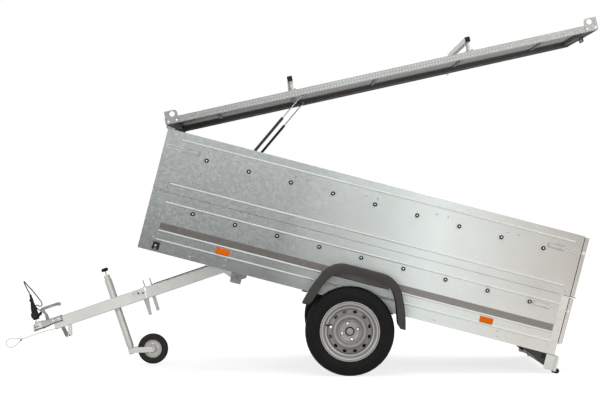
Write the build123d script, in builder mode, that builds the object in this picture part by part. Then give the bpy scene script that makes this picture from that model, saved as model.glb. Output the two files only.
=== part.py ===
"""Tipping box trailer with a hinged lid, standing tipped back on its rear buffers.

Millimetres, +Z up, +X towards the rear, +Y towards the trailer's right side.
The pieces are drawn in four working frames and seated in the standing trailer at the end:
  box      origin at the front top edge of the sides, x rearwards, z up
  lid      origin at the lid's hinge line, x rearwards, z up through the lid
  drawbar  origin at the tilting pin, x rearwards along the bar, z up
  ground   origin on the ground under the axle line
"""
from build123d import *
from math import acos, asin, atan2, cos, degrees, hypot, pi, radians, sin, tan
import os

# ---------------------------------------------------------------- driving dimensions
# box: lengths along x, heights as z below the top edge, half widths from the middle
BOX_LENGTH = 2705
BOX_HALF_WIDTH = 640
SIDE_WALL = 22                     # thickness of a folded side board
BOARD_JOINT_Z = -387               # where the upper boards stand on the lower ones
SIDE_BOTTOM_Z = -763
FLOOR_TOP_Z = -672
FLOOR_THICKNESS = 9
RIB_RADIUS = 6
RIB_CLEARANCE = 2                  # between a rib's rounded end and the fender
RIB_START_X = 100
RIB_END_X = BOX_LENGTH - 80
UPPER_RIBS_Z = (-49, -329)
LOWER_RIBS_Z = (-447, -627, -684)
BOARD_THICKNESS = 25               # front and rear boards
BOARD_GAP = 5                      # between a hinged board and the side boards
MOVING_GAP = 6

# hinged end boards: hinge pins in front of, or behind, the faces
BOARD_PIN_RADIUS = 4
BOARD_PIN_STANDOFF = 11
KNUCKLE_RADIUS = 7
KNUCKLE_LENGTH = 30
KNUCKLE_PITCH = 400
PIN_CLEARANCE = 0.05
SLIDE_CLEARANCE = 0.3

# running gear
TYRE_RADIUS = 274.5
TYRE_WIDTH = 155
WHEEL_TRACK_HALF = BOX_HALF_WIDTH + 102.5   # middle plane of a tyre
WHEEL_X = 1402                     # wheel centre in the box frame
WHEEL_Z = -929
RIM_RADIUS = 182
RIM_BARREL_RADIUS = 143
SPINDLE_RADIUS = 15
HUB_RADIUS = 45
HUB_DEPTH = 80
MOUNT_OFFSET = 30                  # wheel disc's mounting face outboard of the middle plane

# fenders: half outlines about the wheel centre as reach along x, height
FENDER_OUTLINE = ((327, 95), (306, 172), (274, 255), (246, 312), (218, 348), (188, 371),
                  (158, 384), (115, 391))
FENDER_INNER = ((297, 95), (275, 115), (255, 171), (240, 215), (221, 257), (197, 296),
                (168, 321), (130, 335), (73, 341))
FENDER_WIDTH = 195
FENDER_SHEET = 3
FENDER_SKIRT_REACH = 178           # the mounting skirt against the box side
FENDER_SKIRT_HEIGHT = 300

# rear buffers: the box tips until they touch the ground
BUFFER_X = BOX_LENGTH + 12
BUFFER_Z = -855
BUFFER_RADIUS = 16
BUFFER_WIDTH = 40
BUFFER_Y = BOX_HALF_WIDTH - 40

# lid
LID_HINGE_X = -4
LID_HINGE_Z = 6
LID_OPEN_ANGLE = 27.0
LID_FRONT_X = -9
LID_REAR_X = BOX_LENGTH + 33
LID_HALF_WIDTH = BOX_HALF_WIDTH + 5
LID_RIM_BOTTOM = 14
LID_RIM_HEIGHT = 42
LID_SHEET = 3
LID_TUBE = 25
LID_STIFFENER = 8                  # depth of the cross members under the lid sheet
ROOF_BAR_X = (804, BOX_LENGTH - 770)
ROOF_BAR_SIZE = 32
ROOF_BAR_RISE = 59                 # gap between the lid and the underside of a bar
ROOF_POST_WIDTH = 24
EYELET_LENGTH = 81
EYELET_RISE = 41
EYELET_HOLE_RADIUS = 17
EYELET_HOLE_RISE = 18
EYELET_HOLE_SHIFT = 6              # the hole stands off the plate's middle, away from the lid's end
EYELET_CORNER = 22
EYELET_SHEET = 6

# gas struts
STRUT_Y = BOX_HALF_WIDTH - 55
STRUT_LOWER_X = 536
STRUT_LOWER_Z = -38
STRUT_UPPER_LID_X = 867.5          # in the lid frame
STRUT_UPPER_LID_Z = 27
STRUT_CYLINDER_RADIUS = 9
STRUT_ROD_RADIUS = 4
STRUT_CYLINDER_LENGTH = 313
STRUT_EYE_RADIUS = 9
STRUT_PIN_RADIUS = 4

# drawbar
DRAWBAR_SLOPE = 18.7
PIVOT_X = 626
PIVOT_Z = -832
PIVOT_RADIUS = 8
BAR_OFFSET = 101                   # bar's centreline above the tilting pin
BAR_HEIGHT = 76
BAR_WIDTH = 50
BAR_WALL = 4
BAR_FRONT_X = -1225
BAR_REAR_X = 34
TUNNEL_HALF_WIDTH = 42
TUNNEL_END_X = 880
CHASSIS_WALL = 4

# jockey wheel, in the drawbar frame
JOCKEY_X = -804
JOCKEY_Y = 60
JOCKEY_TUBE_RADIUS = 24
JOCKEY_LEG_SHOWN = 14.9177              # of the leg, between the outer tube and the fork
JOCKEY_TUBE_TOP = 264
JOCKEY_LEG_RADIUS = 20
JOCKEY_WHEEL_RADIUS = 100
JOCKEY_WHEEL_WIDTH = 58
JOCKEY_TRAIL = 136
SWIVEL_PIN_RADIUS = 8

SIDES = (("left", -1), ("right", 1))

# ---------------------------------------------------------------- the standing pose
buffer_arm = hypot(BUFFER_X - WHEEL_X, BUFFER_Z - WHEEL_Z)
TIP_ANGLE = degrees(asin((TYRE_RADIUS - BUFFER_RADIUS) / buffer_arm)
                    + atan2(BUFFER_Z - WHEEL_Z, BUFFER_X - WHEEL_X))


def turned(x, z, angle):
    """A point of the x-z plane turned about the y axis by an angle in degrees."""
    turn = radians(angle)
    return x * cos(turn) + z * sin(turn), -x * sin(turn) + z * cos(turn)


axle_x, axle_z = turned(WHEEL_X, WHEEL_Z, TIP_ANGLE)
box_origin = (-axle_x, TYRE_RADIUS - axle_z)


def in_ground(x, z):
    """A point of the box frame in the ground frame."""
    dx, dz = turned(x, z, TIP_ANGLE)
    return box_origin[0] + dx, box_origin[1] + dz


lid_origin = in_ground(LID_HINGE_X, LID_HINGE_Z)
pivot_origin = in_ground(PIVOT_X, PIVOT_Z)

BOX_SEAT = Location((box_origin[0], 0, box_origin[1]), (0, TIP_ANGLE, 0))
LID_SEAT = Location((lid_origin[0], 0, lid_origin[1]), (0, TIP_ANGLE - LID_OPEN_ANGLE, 0))
DRAWBAR_SEAT = Location((pivot_origin[0], 0, pivot_origin[1]), (0, -DRAWBAR_SLOPE, 0))
GROUND_SEAT = Location((0, 0, 0))

finished = []


def finish(builder, name, seat):
    """Label a finished piece and keep it with its place in the standing trailer."""
    builder.part.label = name
    finished.append((builder.part, seat))


def slab(x, y, z, mode=Mode.ADD):
    """A block between pairs of limits, in the part being built."""
    middle = tuple((low + high) / 2 for low, high in (x, y, z))
    size = [abs(high - low) for low, high in (x, y, z)]
    with Locations(middle):
        Box(*size, mode=mode)


def span(side, near, far):
    """Limits along y on one side, lowest first."""
    return tuple(sorted((side * near, side * far)))


def rod_y(x, z, y, radius, mode=Mode.ADD):
    """A round bar across the trailer between two y limits."""
    with Locations(Location((x, (y[0] + y[1]) / 2, z), (90, 0, 0))):
        Cylinder(radius, y[1] - y[0], mode=mode)


def rod_x(x, y, z, radius, mode=Mode.ADD):
    """A round bar along x between two x limits."""
    with Locations(Location(((x[0] + x[1]) / 2, y, z), (0, 90, 0))):
        Cylinder(radius, x[1] - x[0], mode=mode)


def rod_z(x, y, z, radius, mode=Mode.ADD):
    """An upright round bar between two z limits."""
    with Locations((x, y, (z[0] + z[1]) / 2)):
        Cylinder(radius, z[1] - z[0], mode=mode)


def plate_xz(points, y, mode=Mode.ADD):
    """A flat plate across y whose outline is given in x and z."""
    with BuildSketch(Plane.XZ.offset(-y[1])) as outline:
        with BuildLine():
            Polyline(*points, close=True)
        make_face()
    extrude(outline.sketch, amount=y[1] - y[0], mode=mode)


# ---------------------------------------------------------------- side boards
side_end_x = BOX_LENGTH - BOARD_THICKNESS - BOARD_GAP
inner_half = BOX_HALF_WIDTH - SIDE_WALL

BOARD_ROWS = (                     # name, bottom z, top z, heights of the swaged ribs
    ("lower", SIDE_BOTTOM_Z, BOARD_JOINT_Z, LOWER_RIBS_Z),
    ("upper", BOARD_JOINT_Z, 0, UPPER_RIBS_Z),
)


def reach_at(outline, height):
    """How far a half outline of the fender reaches along x at a height, 0 if it stays below."""
    for (low_x, low_z), (high_x, high_z) in zip(outline, outline[1:]):
        if low_z <= height <= high_z:
            return low_x + (high_x - low_x) * (height - low_z) / (high_z - low_z)
    return 0


def rib_runs(rib_z):
    """Where a swaged rib runs along a side: whole, or broken by the fender's band."""
    height = rib_z - WHEEL_Z
    outside = reach_at(FENDER_OUTLINE, height - RIB_RADIUS)
    if outside == 0:
        return ((RIB_START_X, RIB_END_X),)
    break_off = outside + RIB_RADIUS + RIB_CLEARANCE
    runs = [(RIB_START_X, WHEEL_X - break_off), (WHEEL_X + break_off, RIB_END_X)]
    if height + RIB_RADIUS < FENDER_SKIRT_HEIGHT:
        under = reach_at(FENDER_INNER, height + RIB_RADIUS) - RIB_RADIUS - RIB_CLEARANCE
        runs.append((WHEEL_X - under, WHEEL_X + under))
    return runs


for side_name, side in SIDES:
    for row_name, bottom_z, top_z, rib_heights in BOARD_ROWS:
        with BuildPart() as side_board:
            slab((0, side_end_x), span(side, inner_half, BOX_HALF_WIDTH), (bottom_z, top_z))
            for rib_z in rib_heights:
                for run in rib_runs(rib_z):
                    for end_x in run:
                        with Locations((end_x, side * BOX_HALF_WIDTH, rib_z)):
                            Sphere(RIB_RADIUS)
                    rod_x(run, side * BOX_HALF_WIDTH, rib_z, RIB_RADIUS)
            slab((0, side_end_x), span(side, inner_half - RIB_RADIUS, inner_half),
                 (bottom_z, top_z), mode=Mode.SUBTRACT)
        finish(side_board, f"side_{row_name}_{side_name}", BOX_SEAT)

# ---------------------------------------------------------------- front boards
front_floor_z = FLOOR_TOP_Z - FLOOR_THICKNESS
latch_notch_top = -638
LATCH_COVER_X = 112
LATCH_COVER_SHEET = 3
cover_half = TUNNEL_HALF_WIDTH + LATCH_COVER_SHEET
cover_end_x = LATCH_COVER_X + LATCH_COVER_SHEET

with BuildPart() as front_lower:
    slab((0, SIDE_WALL), (-inner_half, inner_half), (front_floor_z, BOARD_JOINT_Z - 2))
    slab((0, SIDE_WALL), (-TUNNEL_HALF_WIDTH, TUNNEL_HALF_WIDTH),
         (front_floor_z, latch_notch_top), mode=Mode.SUBTRACT)
    slab((SIDE_WALL, cover_end_x), (-cover_half, cover_half),
         (front_floor_z, latch_notch_top + LATCH_COVER_SHEET))
    slab((SIDE_WALL - 1, LATCH_COVER_X), (-TUNNEL_HALF_WIDTH, TUNNEL_HALF_WIDTH),
         (front_floor_z, latch_notch_top), mode=Mode.SUBTRACT)
finish(front_lower, "front_lower_board", BOX_SEAT)

front_pin = (-BOARD_PIN_STANDOFF, BOARD_JOINT_Z)
rear_upper_pin = (BOX_LENGTH + BOARD_PIN_STANDOFF, BOARD_JOINT_Z)
tailgate_pin = (BOX_LENGTH + BOARD_PIN_STANDOFF, FLOOR_TOP_Z - 22)
knuckle_places = (-KNUCKLE_PITCH, 0, KNUCKLE_PITCH)


def moving_knuckles(pin, face_x, leaf_top):
    """Hinge leaves with bored knuckles on a board whose outer face is at face_x."""
    away = 1 if pin[0] > face_x else -1
    for place in knuckle_places:
        y = (place, place + KNUCKLE_LENGTH)
        leaf = sorted((face_x, face_x + away * BOARD_PIN_STANDOFF))
        slab(leaf, y, (pin[1], leaf_top))
        rod_y(pin[0], pin[1], y, KNUCKLE_RADIUS)
        rod_y(pin[0], pin[1], y, BOARD_PIN_RADIUS + PIN_CLEARANCE, mode=Mode.SUBTRACT)


def fixed_knuckles(pin, root_x, strap_z):
    """Straps with hinge pins that carry the moving knuckles."""
    for place in knuckle_places:
        y = (place - KNUCKLE_LENGTH, place - 1)
        strap = sorted((root_x, pin[0]))
        slab(strap, y, strap_z)
        rod_y(pin[0], pin[1], y, KNUCKLE_RADIUS)
        rod_y(pin[0], pin[1], (place - KNUCKLE_LENGTH, place + KNUCKLE_LENGTH), BOARD_PIN_RADIUS)


front_board_half = inner_half - MOVING_GAP
board_bottom_z = BOARD_JOINT_Z + 8
front_board_top = -12

with BuildPart() as front_upper:
    slab((0, SIDE_WALL), (-front_board_half, front_board_half), (board_bottom_z, front_board_top))
    for rib_z in UPPER_RIBS_Z:
        rod_y(0, rib_z, (-front_board_half + 60, front_board_half - 60), RIB_RADIUS)
    moving_knuckles(front_pin, 0, board_bottom_z + 30)
finish(front_upper, "front_upper_board", BOX_SEAT)

# ---------------------------------------------------------------- rear boards
rear_face = (BOX_LENGTH - BOARD_THICKNESS, BOX_LENGTH)
CATCH_X = (BOX_LENGTH - 21, BOX_LENGTH - 7)
UPPER_LATCH_Z = -106
LOWER_LATCH_Z = -478


def side_catches(latch_z):
    """Catch blocks on both ends of a rear board, for the toggle latches."""
    for _, side in SIDES:
        slab(CATCH_X, span(side, BOX_HALF_WIDTH, BOX_HALF_WIDTH + 9), (latch_z - 10, latch_z + 10))


with BuildPart() as rear_upper:
    slab(rear_face, (-BOX_HALF_WIDTH, BOX_HALF_WIDTH), (board_bottom_z, -6))
    for rib_z in UPPER_RIBS_Z:
        rod_y(BOX_LENGTH, rib_z, (-BOX_HALF_WIDTH + 60, BOX_HALF_WIDTH - 60), RIB_RADIUS)
    moving_knuckles(rear_upper_pin, BOX_LENGTH, board_bottom_z + 30)
    side_catches(UPPER_LATCH_Z)
finish(rear_upper, "rear_upper_board", BOX_SEAT)

with BuildPart() as tailgate:
    slab(rear_face, (-BOX_HALF_WIDTH, BOX_HALF_WIDTH), (FLOOR_TOP_Z - 12, BOARD_JOINT_Z - 8))
    for rib_z in LOWER_RIBS_Z[:2]:
        rod_y(BOX_LENGTH, rib_z, (-BOX_HALF_WIDTH + 60, BOX_HALF_WIDTH - 60), RIB_RADIUS)
    moving_knuckles(tailgate_pin, BOX_LENGTH, FLOOR_TOP_Z + 20)
    side_catches(LOWER_LATCH_Z)
finish(tailgate, "tailgate", BOX_SEAT)

POST_X = (side_end_x - 35, side_end_x)
POST_DEPTH = 28

with BuildPart() as rear_posts:
    for _, side in SIDES:
        post_y = span(side, inner_half - POST_DEPTH, inner_half)
        slab(POST_X, post_y, (front_floor_z, -2))
        strap_y = span(side, inner_half - POST_DEPTH, inner_half - 6)
        slab((side_end_x, rear_upper_pin[0]), strap_y, (BOARD_JOINT_Z - 2, BOARD_JOINT_Z + 2))
    rod_y(*rear_upper_pin, (-inner_half + 6, inner_half - 6), BOARD_PIN_RADIUS)
finish(rear_posts, "rear_posts", BOX_SEAT)

# ---------------------------------------------------------------- floor and chassis
with BuildPart() as floor:
    slab((SIDE_WALL, POST_X[0]), (-inner_half, inner_half), (front_floor_z, FLOOR_TOP_Z))
    slab((SIDE_WALL, cover_end_x), (-cover_half, cover_half),
         (front_floor_z, FLOOR_TOP_Z), mode=Mode.SUBTRACT)
finish(floor, "floor", BOX_SEAT)

RAIL_DEPTH = 42
CROSSMEMBERS_X = (310, 514, 725, 1110, 1480, 1890, 2280)
CROSSMEMBER_WIDTH = 40
CROSSMEMBER_HEIGHT = 60

with BuildPart() as chassis:
    for _, side in SIDES:
        rail_y = span(side, inner_half - RAIL_DEPTH, inner_half)
        slab((0, side_end_x), rail_y, (SIDE_BOTTOM_Z, front_floor_z))
        slab((0, side_end_x), span(side, inner_half - RAIL_DEPTH, inner_half - CHASSIS_WALL),
             (SIDE_BOTTOM_Z + CHASSIS_WALL, front_floor_z - CHASSIS_WALL), mode=Mode.SUBTRACT)
        tunnel_y = span(side, TUNNEL_HALF_WIDTH, TUNNEL_HALF_WIDTH + CHASSIS_WALL)
        slab((0, TUNNEL_END_X), tunnel_y, (SIDE_BOTTOM_Z, front_floor_z))
        flange_y = span(side, TUNNEL_HALF_WIDTH, TUNNEL_HALF_WIDTH + 30)
        slab((0, TUNNEL_END_X), flange_y, (SIDE_BOTTOM_Z, SIDE_BOTTOM_Z + CHASSIS_WALL))
        beam_y = span(side, TUNNEL_HALF_WIDTH, inner_half - CHASSIS_WALL)
        slab((0, CROSSMEMBER_WIDTH), beam_y, (SIDE_BOTTOM_Z, front_floor_z))
    slab((TUNNEL_END_X, TUNNEL_END_X + CHASSIS_WALL),
         (-TUNNEL_HALF_WIDTH - 30, TUNNEL_HALF_WIDTH + 30), (SIDE_BOTTOM_Z, front_floor_z))
    slab((side_end_x - CROSSMEMBER_WIDTH, side_end_x),
         (-inner_half + CHASSIS_WALL, inner_half - CHASSIS_WALL), (SIDE_BOTTOM_Z, front_floor_z))
finish(chassis, "chassis", BOX_SEAT)

with BuildPart() as crossmembers:
    for member_x in CROSSMEMBERS_X:
        member = (member_x - CROSSMEMBER_WIDTH / 2, member_x + CROSSMEMBER_WIDTH / 2)
        member_z = (front_floor_z - CROSSMEMBER_HEIGHT, front_floor_z)
        inner = TUNNEL_HALF_WIDTH + CHASSIS_WALL if member_x < TUNNEL_END_X else 0
        for _, side in SIDES:
            slab(member, span(side, inner, inner_half - CHASSIS_WALL), member_z)
            slab((member[0] + CHASSIS_WALL, member[1] - CHASSIS_WALL),
                 span(side, inner + CHASSIS_WALL, inner_half - RAIL_DEPTH - CHASSIS_WALL),
                 (member_z[0], member_z[1] - CHASSIS_WALL), mode=Mode.SUBTRACT)
    for _, side in SIDES:
        slab((0, BOX_LENGTH), span(side, inner_half - RAIL_DEPTH, inner_half),
             (front_floor_z - CHASSIS_WALL, front_floor_z), mode=Mode.SUBTRACT)
finish(crossmembers, "crossmembers", BOX_SEAT)

with BuildPart() as board_hinges:
    fixed_knuckles(front_pin, 0, (BOARD_JOINT_Z - 6, BOARD_JOINT_Z - 2))
    for place in knuckle_places:
        slab((-4, 0), (place - KNUCKLE_LENGTH, place - 1), (BOARD_JOINT_Z - 50, BOARD_JOINT_Z - 2))
    fixed_knuckles(tailgate_pin, side_end_x, (tailgate_pin[1] - 7, tailgate_pin[1] + 4))
finish(board_hinges, "board_hinges", BOX_SEAT)

# ---------------------------------------------------------------- tilting pin's bracket
CHEEK_X = (PIVOT_X - 38, PIVOT_X + 64)
CHEEK_STEP_Z = -811
CHEEK_BOTTOM_Z = -860
cheek_inner = TUNNEL_HALF_WIDTH

with BuildPart() as pivot_bracket:
    for _, side in SIDES:
        cheek_y = span(side, cheek_inner, cheek_inner + 6)
        plate_xz(((CHEEK_X[0], SIDE_BOTTOM_Z), (CHEEK_X[1], SIDE_BOTTOM_Z),
                  (CHEEK_X[1], CHEEK_STEP_Z), (PIVOT_X + 36, CHEEK_STEP_Z - 15),
                  (PIVOT_X + 36, CHEEK_BOTTOM_Z), (PIVOT_X - 32, CHEEK_BOTTOM_Z)), cheek_y)
    rod_y(PIVOT_X, PIVOT_Z, (-cheek_inner - 18, cheek_inner + 18), PIVOT_RADIUS)
    for _, side in SIDES:
        rod_y(PIVOT_X, PIVOT_Z, span(side, cheek_inner + 6, cheek_inner + 16), 15)
finish(pivot_bracket, "pivot_bracket", BOX_SEAT)

# ---------------------------------------------------------------- lamp board, lamps, buffers
LAMP_BOARD_X = (BOX_LENGTH - 78, BOX_LENGTH + 3)
LAMP_BOARD_BOTTOM_Z = -860
LAMP_PLATE_X = (BOX_LENGTH - 17, BOX_LENGTH - 14)
GUSSET_X = (BOX_LENGTH - 246, BOX_LENGTH - 45)
GUSSET_BOTTOM_Z = -851

with BuildPart() as lamp_board:
    slab(LAMP_PLATE_X, (-BOX_HALF_WIDTH, BOX_HALF_WIDTH), (LAMP_BOARD_BOTTOM_Z, SIDE_BOTTOM_Z))
    slab((LAMP_BOARD_X[0], LAMP_PLATE_X[0]), (-BOX_HALF_WIDTH, BOX_HALF_WIDTH),
         (SIDE_BOTTOM_Z - 3, SIDE_BOTTOM_Z))
    for _, side in SIDES:
        flange_y = span(side, BOX_HALF_WIDTH - 4, BOX_HALF_WIDTH)
        slab(LAMP_BOARD_X, flange_y, (LAMP_BOARD_BOTTOM_Z, SIDE_BOTTOM_Z))
        plate_xz(((GUSSET_X[0], SIDE_BOTTOM_Z), (GUSSET_X[1], SIDE_BOTTOM_Z),
                  (GUSSET_X[1], GUSSET_BOTTOM_Z)),
                 span(side, BOX_HALF_WIDTH - 10, BOX_HALF_WIDTH - 4))
finish(lamp_board, "lamp_board", BOX_SEAT)

with BuildPart() as buffers:
    for _, side in SIDES:
        buffer_y = span(side, BUFFER_Y - BUFFER_WIDTH / 2, BUFFER_Y + BUFFER_WIDTH / 2)
        slab((LAMP_PLATE_X[1], BUFFER_X), buffer_y,
             (BUFFER_Z - BUFFER_RADIUS, BUFFER_Z + BUFFER_RADIUS))
        rod_y(BUFFER_X, BUFFER_Z, buffer_y, BUFFER_RADIUS)
finish(buffers, "buffers", BOX_SEAT)

TAIL_LAMP_Y = (BOX_HALF_WIDTH - 240, BOX_HALF_WIDTH - 80)
TAIL_LAMP_Z = (-846, -776)
TAIL_LAMP_DEPTH = 28

with BuildPart() as tail_lamps:
    for _, side in SIDES:
        slab((LAMP_PLATE_X[1], LAMP_PLATE_X[1] + TAIL_LAMP_DEPTH), span(side, *TAIL_LAMP_Y),
             TAIL_LAMP_Z)
    fillet(tail_lamps.edges().filter_by(Axis.X), 12)
finish(tail_lamps, "tail_lamps", BOX_SEAT)

with BuildPart() as plate_holder:
    slab((LAMP_PLATE_X[1], LAMP_PLATE_X[1] + 5), (-260, 260), (-856, -768))
    fillet(plate_holder.edges().filter_by(Axis.X), 8)
finish(plate_holder, "plate_holder", BOX_SEAT)

# ---------------------------------------------------------------- fenders
fender_outer_y = BOX_HALF_WIDTH + FENDER_WIDTH


def fender_line(outline, shrink=0):
    """Points of one edge of a fender from front foot to rear foot, drawn in by a distance."""
    drawn_in = [(x * (1 - shrink / hypot(x, z)), z * (1 - shrink / hypot(x, z))) for x, z in outline]
    front = [(WHEEL_X - x, WHEEL_Z + z) for x, z in drawn_in]
    rear = [(WHEEL_X + x, WHEEL_Z + z) for x, z in reversed(drawn_in)]
    return front + rear


def fender_layer(inner_points, y):
    """The part of a fender between its outer edge and an inner edge, between two y limits."""
    outer_points = fender_line(FENDER_OUTLINE)
    with BuildSketch(Plane.XZ.offset(-y[1])) as layer:
        with BuildLine():
            Spline(*outer_points)
            Spline(*reversed(inner_points))
            Line(outer_points[0], inner_points[0])
            Line(outer_points[-1], inner_points[-1])
        make_face()
    extrude(layer.sketch, amount=y[1] - y[0])


for side_name, side in SIDES:
    with BuildPart() as fender:
        fender_layer(fender_line(FENDER_OUTLINE, FENDER_SHEET),
                     span(side, BOX_HALF_WIDTH, fender_outer_y))
        fender_layer(fender_line(FENDER_INNER), span(side, fender_outer_y - FENDER_SHEET, fender_outer_y))
        skirt_y = span(side, BOX_HALF_WIDTH, BOX_HALF_WIDTH + FENDER_SHEET)
        fender_layer(fender_line(FENDER_INNER), skirt_y)
        slab((WHEEL_X - FENDER_SKIRT_REACH, WHEEL_X + FENDER_SKIRT_REACH), skirt_y,
             (WHEEL_Z + FENDER_SKIRT_HEIGHT, WHEEL_Z + FENDER_INNER[-1][1] + FENDER_SHEET))
    finish(fender, f"fender_{side_name}", BOX_SEAT)

# ---------------------------------------------------------------- axle
AXLE_TUBE_X = 1262
AXLE_TUBE_SIZE = 70
ARM_Y = (BOX_HALF_WIDTH - 74, BOX_HALF_WIDTH - 48)
AXLE_PAD = 8                       # plates between the axle tube and the chassis rails

axle_tube_z = SIDE_BOTTOM_Z - AXLE_PAD - AXLE_TUBE_SIZE / 2
axle_half = ARM_Y[0] - 6

with BuildPart() as axle_beam:
    slab((AXLE_TUBE_X - AXLE_TUBE_SIZE / 2, AXLE_TUBE_X + AXLE_TUBE_SIZE / 2), (-axle_half, axle_half),
         (axle_tube_z - AXLE_TUBE_SIZE / 2, axle_tube_z + AXLE_TUBE_SIZE / 2))
    fillet(axle_beam.edges().filter_by(Axis.Y), 8)
    for _, side in SIDES:
        rod_y(AXLE_TUBE_X, axle_tube_z, span(side, axle_half, ARM_Y[0]), 28)
        slab((AXLE_TUBE_X - 60, AXLE_TUBE_X + 60), span(side, inner_half - 118, inner_half - 6),
             (SIDE_BOTTOM_Z - AXLE_PAD, SIDE_BOTTOM_Z))
finish(axle_beam, "axle_beam", BOX_SEAT)

arm_run = hypot(WHEEL_X - AXLE_TUBE_X, WHEEL_Z - axle_tube_z)

with BuildPart() as axle_arms:
    for _, side in SIDES:
        arm_y = span(side, *ARM_Y)
        with BuildSketch(Plane.XZ.offset(-arm_y[1])):
            with Locations(((AXLE_TUBE_X + WHEEL_X) / 2, (axle_tube_z + WHEEL_Z) / 2)):
                SlotCenterToCenter(arm_run, 62, rotation=degrees(
                    atan2(WHEEL_Z - axle_tube_z, WHEEL_X - AXLE_TUBE_X)))
        extrude(amount=arm_y[1] - arm_y[0])
        rod_y(WHEEL_X, WHEEL_Z, span(side, ARM_Y[1], WHEEL_TRACK_HALF - 7.5), SPINDLE_RADIUS)
finish(axle_arms, "axle_arms", BOX_SEAT)

# ---------------------------------------------------------------- wheels
BOLT_CIRCLE_RADIUS = 50
BOLT_COUNT = 4
BOLT_START = 15
BOLT_HOLE_RADIUS = 6
HUB_FLANGE = 9
HUB_FLANGE_RADIUS = 64
HUB_CAP_RADIUS = 27.7
HUB_CAP_RISE = 26
DRILL_DEPTH = 70
VENT_COUNT = 12
VENT_CIRCLE_RADIUS = 122
VENT_RADIUS = 9.5

tyre_half = TYRE_WIDTH / 2

TYRE_SECTION = (                   # radius, distance from the middle plane: half the section
    (RIM_RADIUS - 14, 58), (RIM_RADIUS, 66), (TYRE_RADIUS - 60, 77.5), (TYRE_RADIUS - 30, 76),
    (TYRE_RADIUS - 11, 69), (TYRE_RADIUS - 3, 57), (TYRE_RADIUS, 44))
RIM_SECTION = (                    # radius, distance outboard of the middle plane
    (RIM_RADIUS, 70), (RIM_RADIUS, 66), (RIM_RADIUS - 14, 58), (RIM_BARREL_RADIUS, 34),
    (RIM_BARREL_RADIUS, -20), (RIM_RADIUS - 14, -58), (RIM_RADIUS, -66), (RIM_RADIUS, -70),
    (RIM_RADIUS - 20, -60), (RIM_BARREL_RADIUS - 4, -22), (RIM_BARREL_RADIUS - 4, 34),
    (RIM_RADIUS - 20, 60))
DISC_SECTION = (                   # radius, distance outboard of the mounting face
    (28, 6), (64, 6), (76, 14), (84, 24), (92, 28), (101, 24), (110, 16), (130, 14), (139, 8),
    (139, 2), (128, 8), (108, 10), (99, 18), (92, 22), (86, 18), (80, 9), (66, 0), (28, 0))

for side_name, side in SIDES:
    wheel_plane = Plane((0, side * WHEEL_TRACK_HALF, TYRE_RADIUS), x_dir=(1, 0, 0),
                        z_dir=(0, side, 0))
    mount_plane = wheel_plane.offset(MOUNT_OFFSET)
    wheel_section = Plane(wheel_plane.origin, x_dir=(1, 0, 0), z_dir=(0, 0, side))
    spin_axis = Axis(wheel_plane.origin, (0, side, 0))

    with BuildPart() as tyre:
        with BuildSketch(wheel_section):
            with BuildLine():
                Polyline(*TYRE_SECTION, *[(r, -w) for r, w in reversed(TYRE_SECTION)], close=True)
            make_face()
        revolve(axis=spin_axis)
    finish(tyre, f"tyre_{side_name}", GROUND_SEAT)

    with BuildPart() as rim:
        with BuildSketch(wheel_section):
            with BuildLine():
                Polyline(*RIM_SECTION, close=True)
            make_face()
            with BuildLine():
                Polyline(*[(r, MOUNT_OFFSET + out) for r, out in DISC_SECTION], close=True)
            make_face()
        revolve(axis=spin_axis)
        with BuildSketch(wheel_plane):
            with PolarLocations(VENT_CIRCLE_RADIUS, VENT_COUNT, start_angle=15):
                Circle(VENT_RADIUS)
        extrude(amount=DRILL_DEPTH, both=True, mode=Mode.SUBTRACT)
        with BuildSketch(wheel_plane):
            with PolarLocations(BOLT_CIRCLE_RADIUS, BOLT_COUNT, start_angle=BOLT_START):
                Circle(BOLT_HOLE_RADIUS)
        extrude(amount=DRILL_DEPTH, both=True, mode=Mode.SUBTRACT)
    finish(rim, f"rim_{side_name}", GROUND_SEAT)

    with BuildPart() as hub:
        with BuildSketch(mount_plane.offset(-HUB_FLANGE)):
            Circle(HUB_FLANGE_RADIUS)
        extrude(amount=HUB_FLANGE)
        with BuildSketch(wheel_plane.offset(-HUB_DEPTH)):
            Circle(HUB_RADIUS)
        extrude(amount=HUB_DEPTH + MOUNT_OFFSET)
        with BuildSketch(mount_plane):
            Circle(HUB_CAP_RADIUS)
        extrude(amount=HUB_CAP_RISE)
        with BuildSketch(mount_plane.offset(-1)):
            with PolarLocations(BOLT_CIRCLE_RADIUS, BOLT_COUNT, start_angle=BOLT_START):
                Circle(BOLT_HOLE_RADIUS)
        extrude(amount=8)
        with BuildSketch(mount_plane.offset(6)):
            with PolarLocations(BOLT_CIRCLE_RADIUS, BOLT_COUNT, start_angle=BOLT_START):
                RegularPolygon(9.5, 6)
        extrude(amount=12)
        with BuildSketch(wheel_plane.offset(-HUB_DEPTH)):
            Circle(SPINDLE_RADIUS + PIN_CLEARANCE)
        extrude(amount=HUB_DEPTH, mode=Mode.SUBTRACT)
    finish(hub, f"hub_{side_name}", GROUND_SEAT)

# ---------------------------------------------------------------- side furniture
KNOB_RADIUS = 13
KNOB_PITCH = 270
KNOB_COUNT = 9
KNOB_FIRST_X = 282
KNOB_ROWS_Z = (-136, -478)
KNOB_RISE = 14

with BuildPart() as knobs:
    for _, side in SIDES:
        for row_z in KNOB_ROWS_Z:
            for place in range(KNOB_COUNT):
                rod_y(KNOB_FIRST_X + place * KNOB_PITCH, row_z,
                      span(side, BOX_HALF_WIDTH, BOX_HALF_WIDTH + KNOB_RISE), KNOB_RADIUS)
finish(knobs, "rope_knobs", BOX_SEAT)

REFLECTORS_X = (484, BOX_LENGTH - 494)
REFLECTOR_Z = -655
REFLECTOR_SIZE = (85, 37)
REFLECTOR_DEPTH = 7

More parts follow.
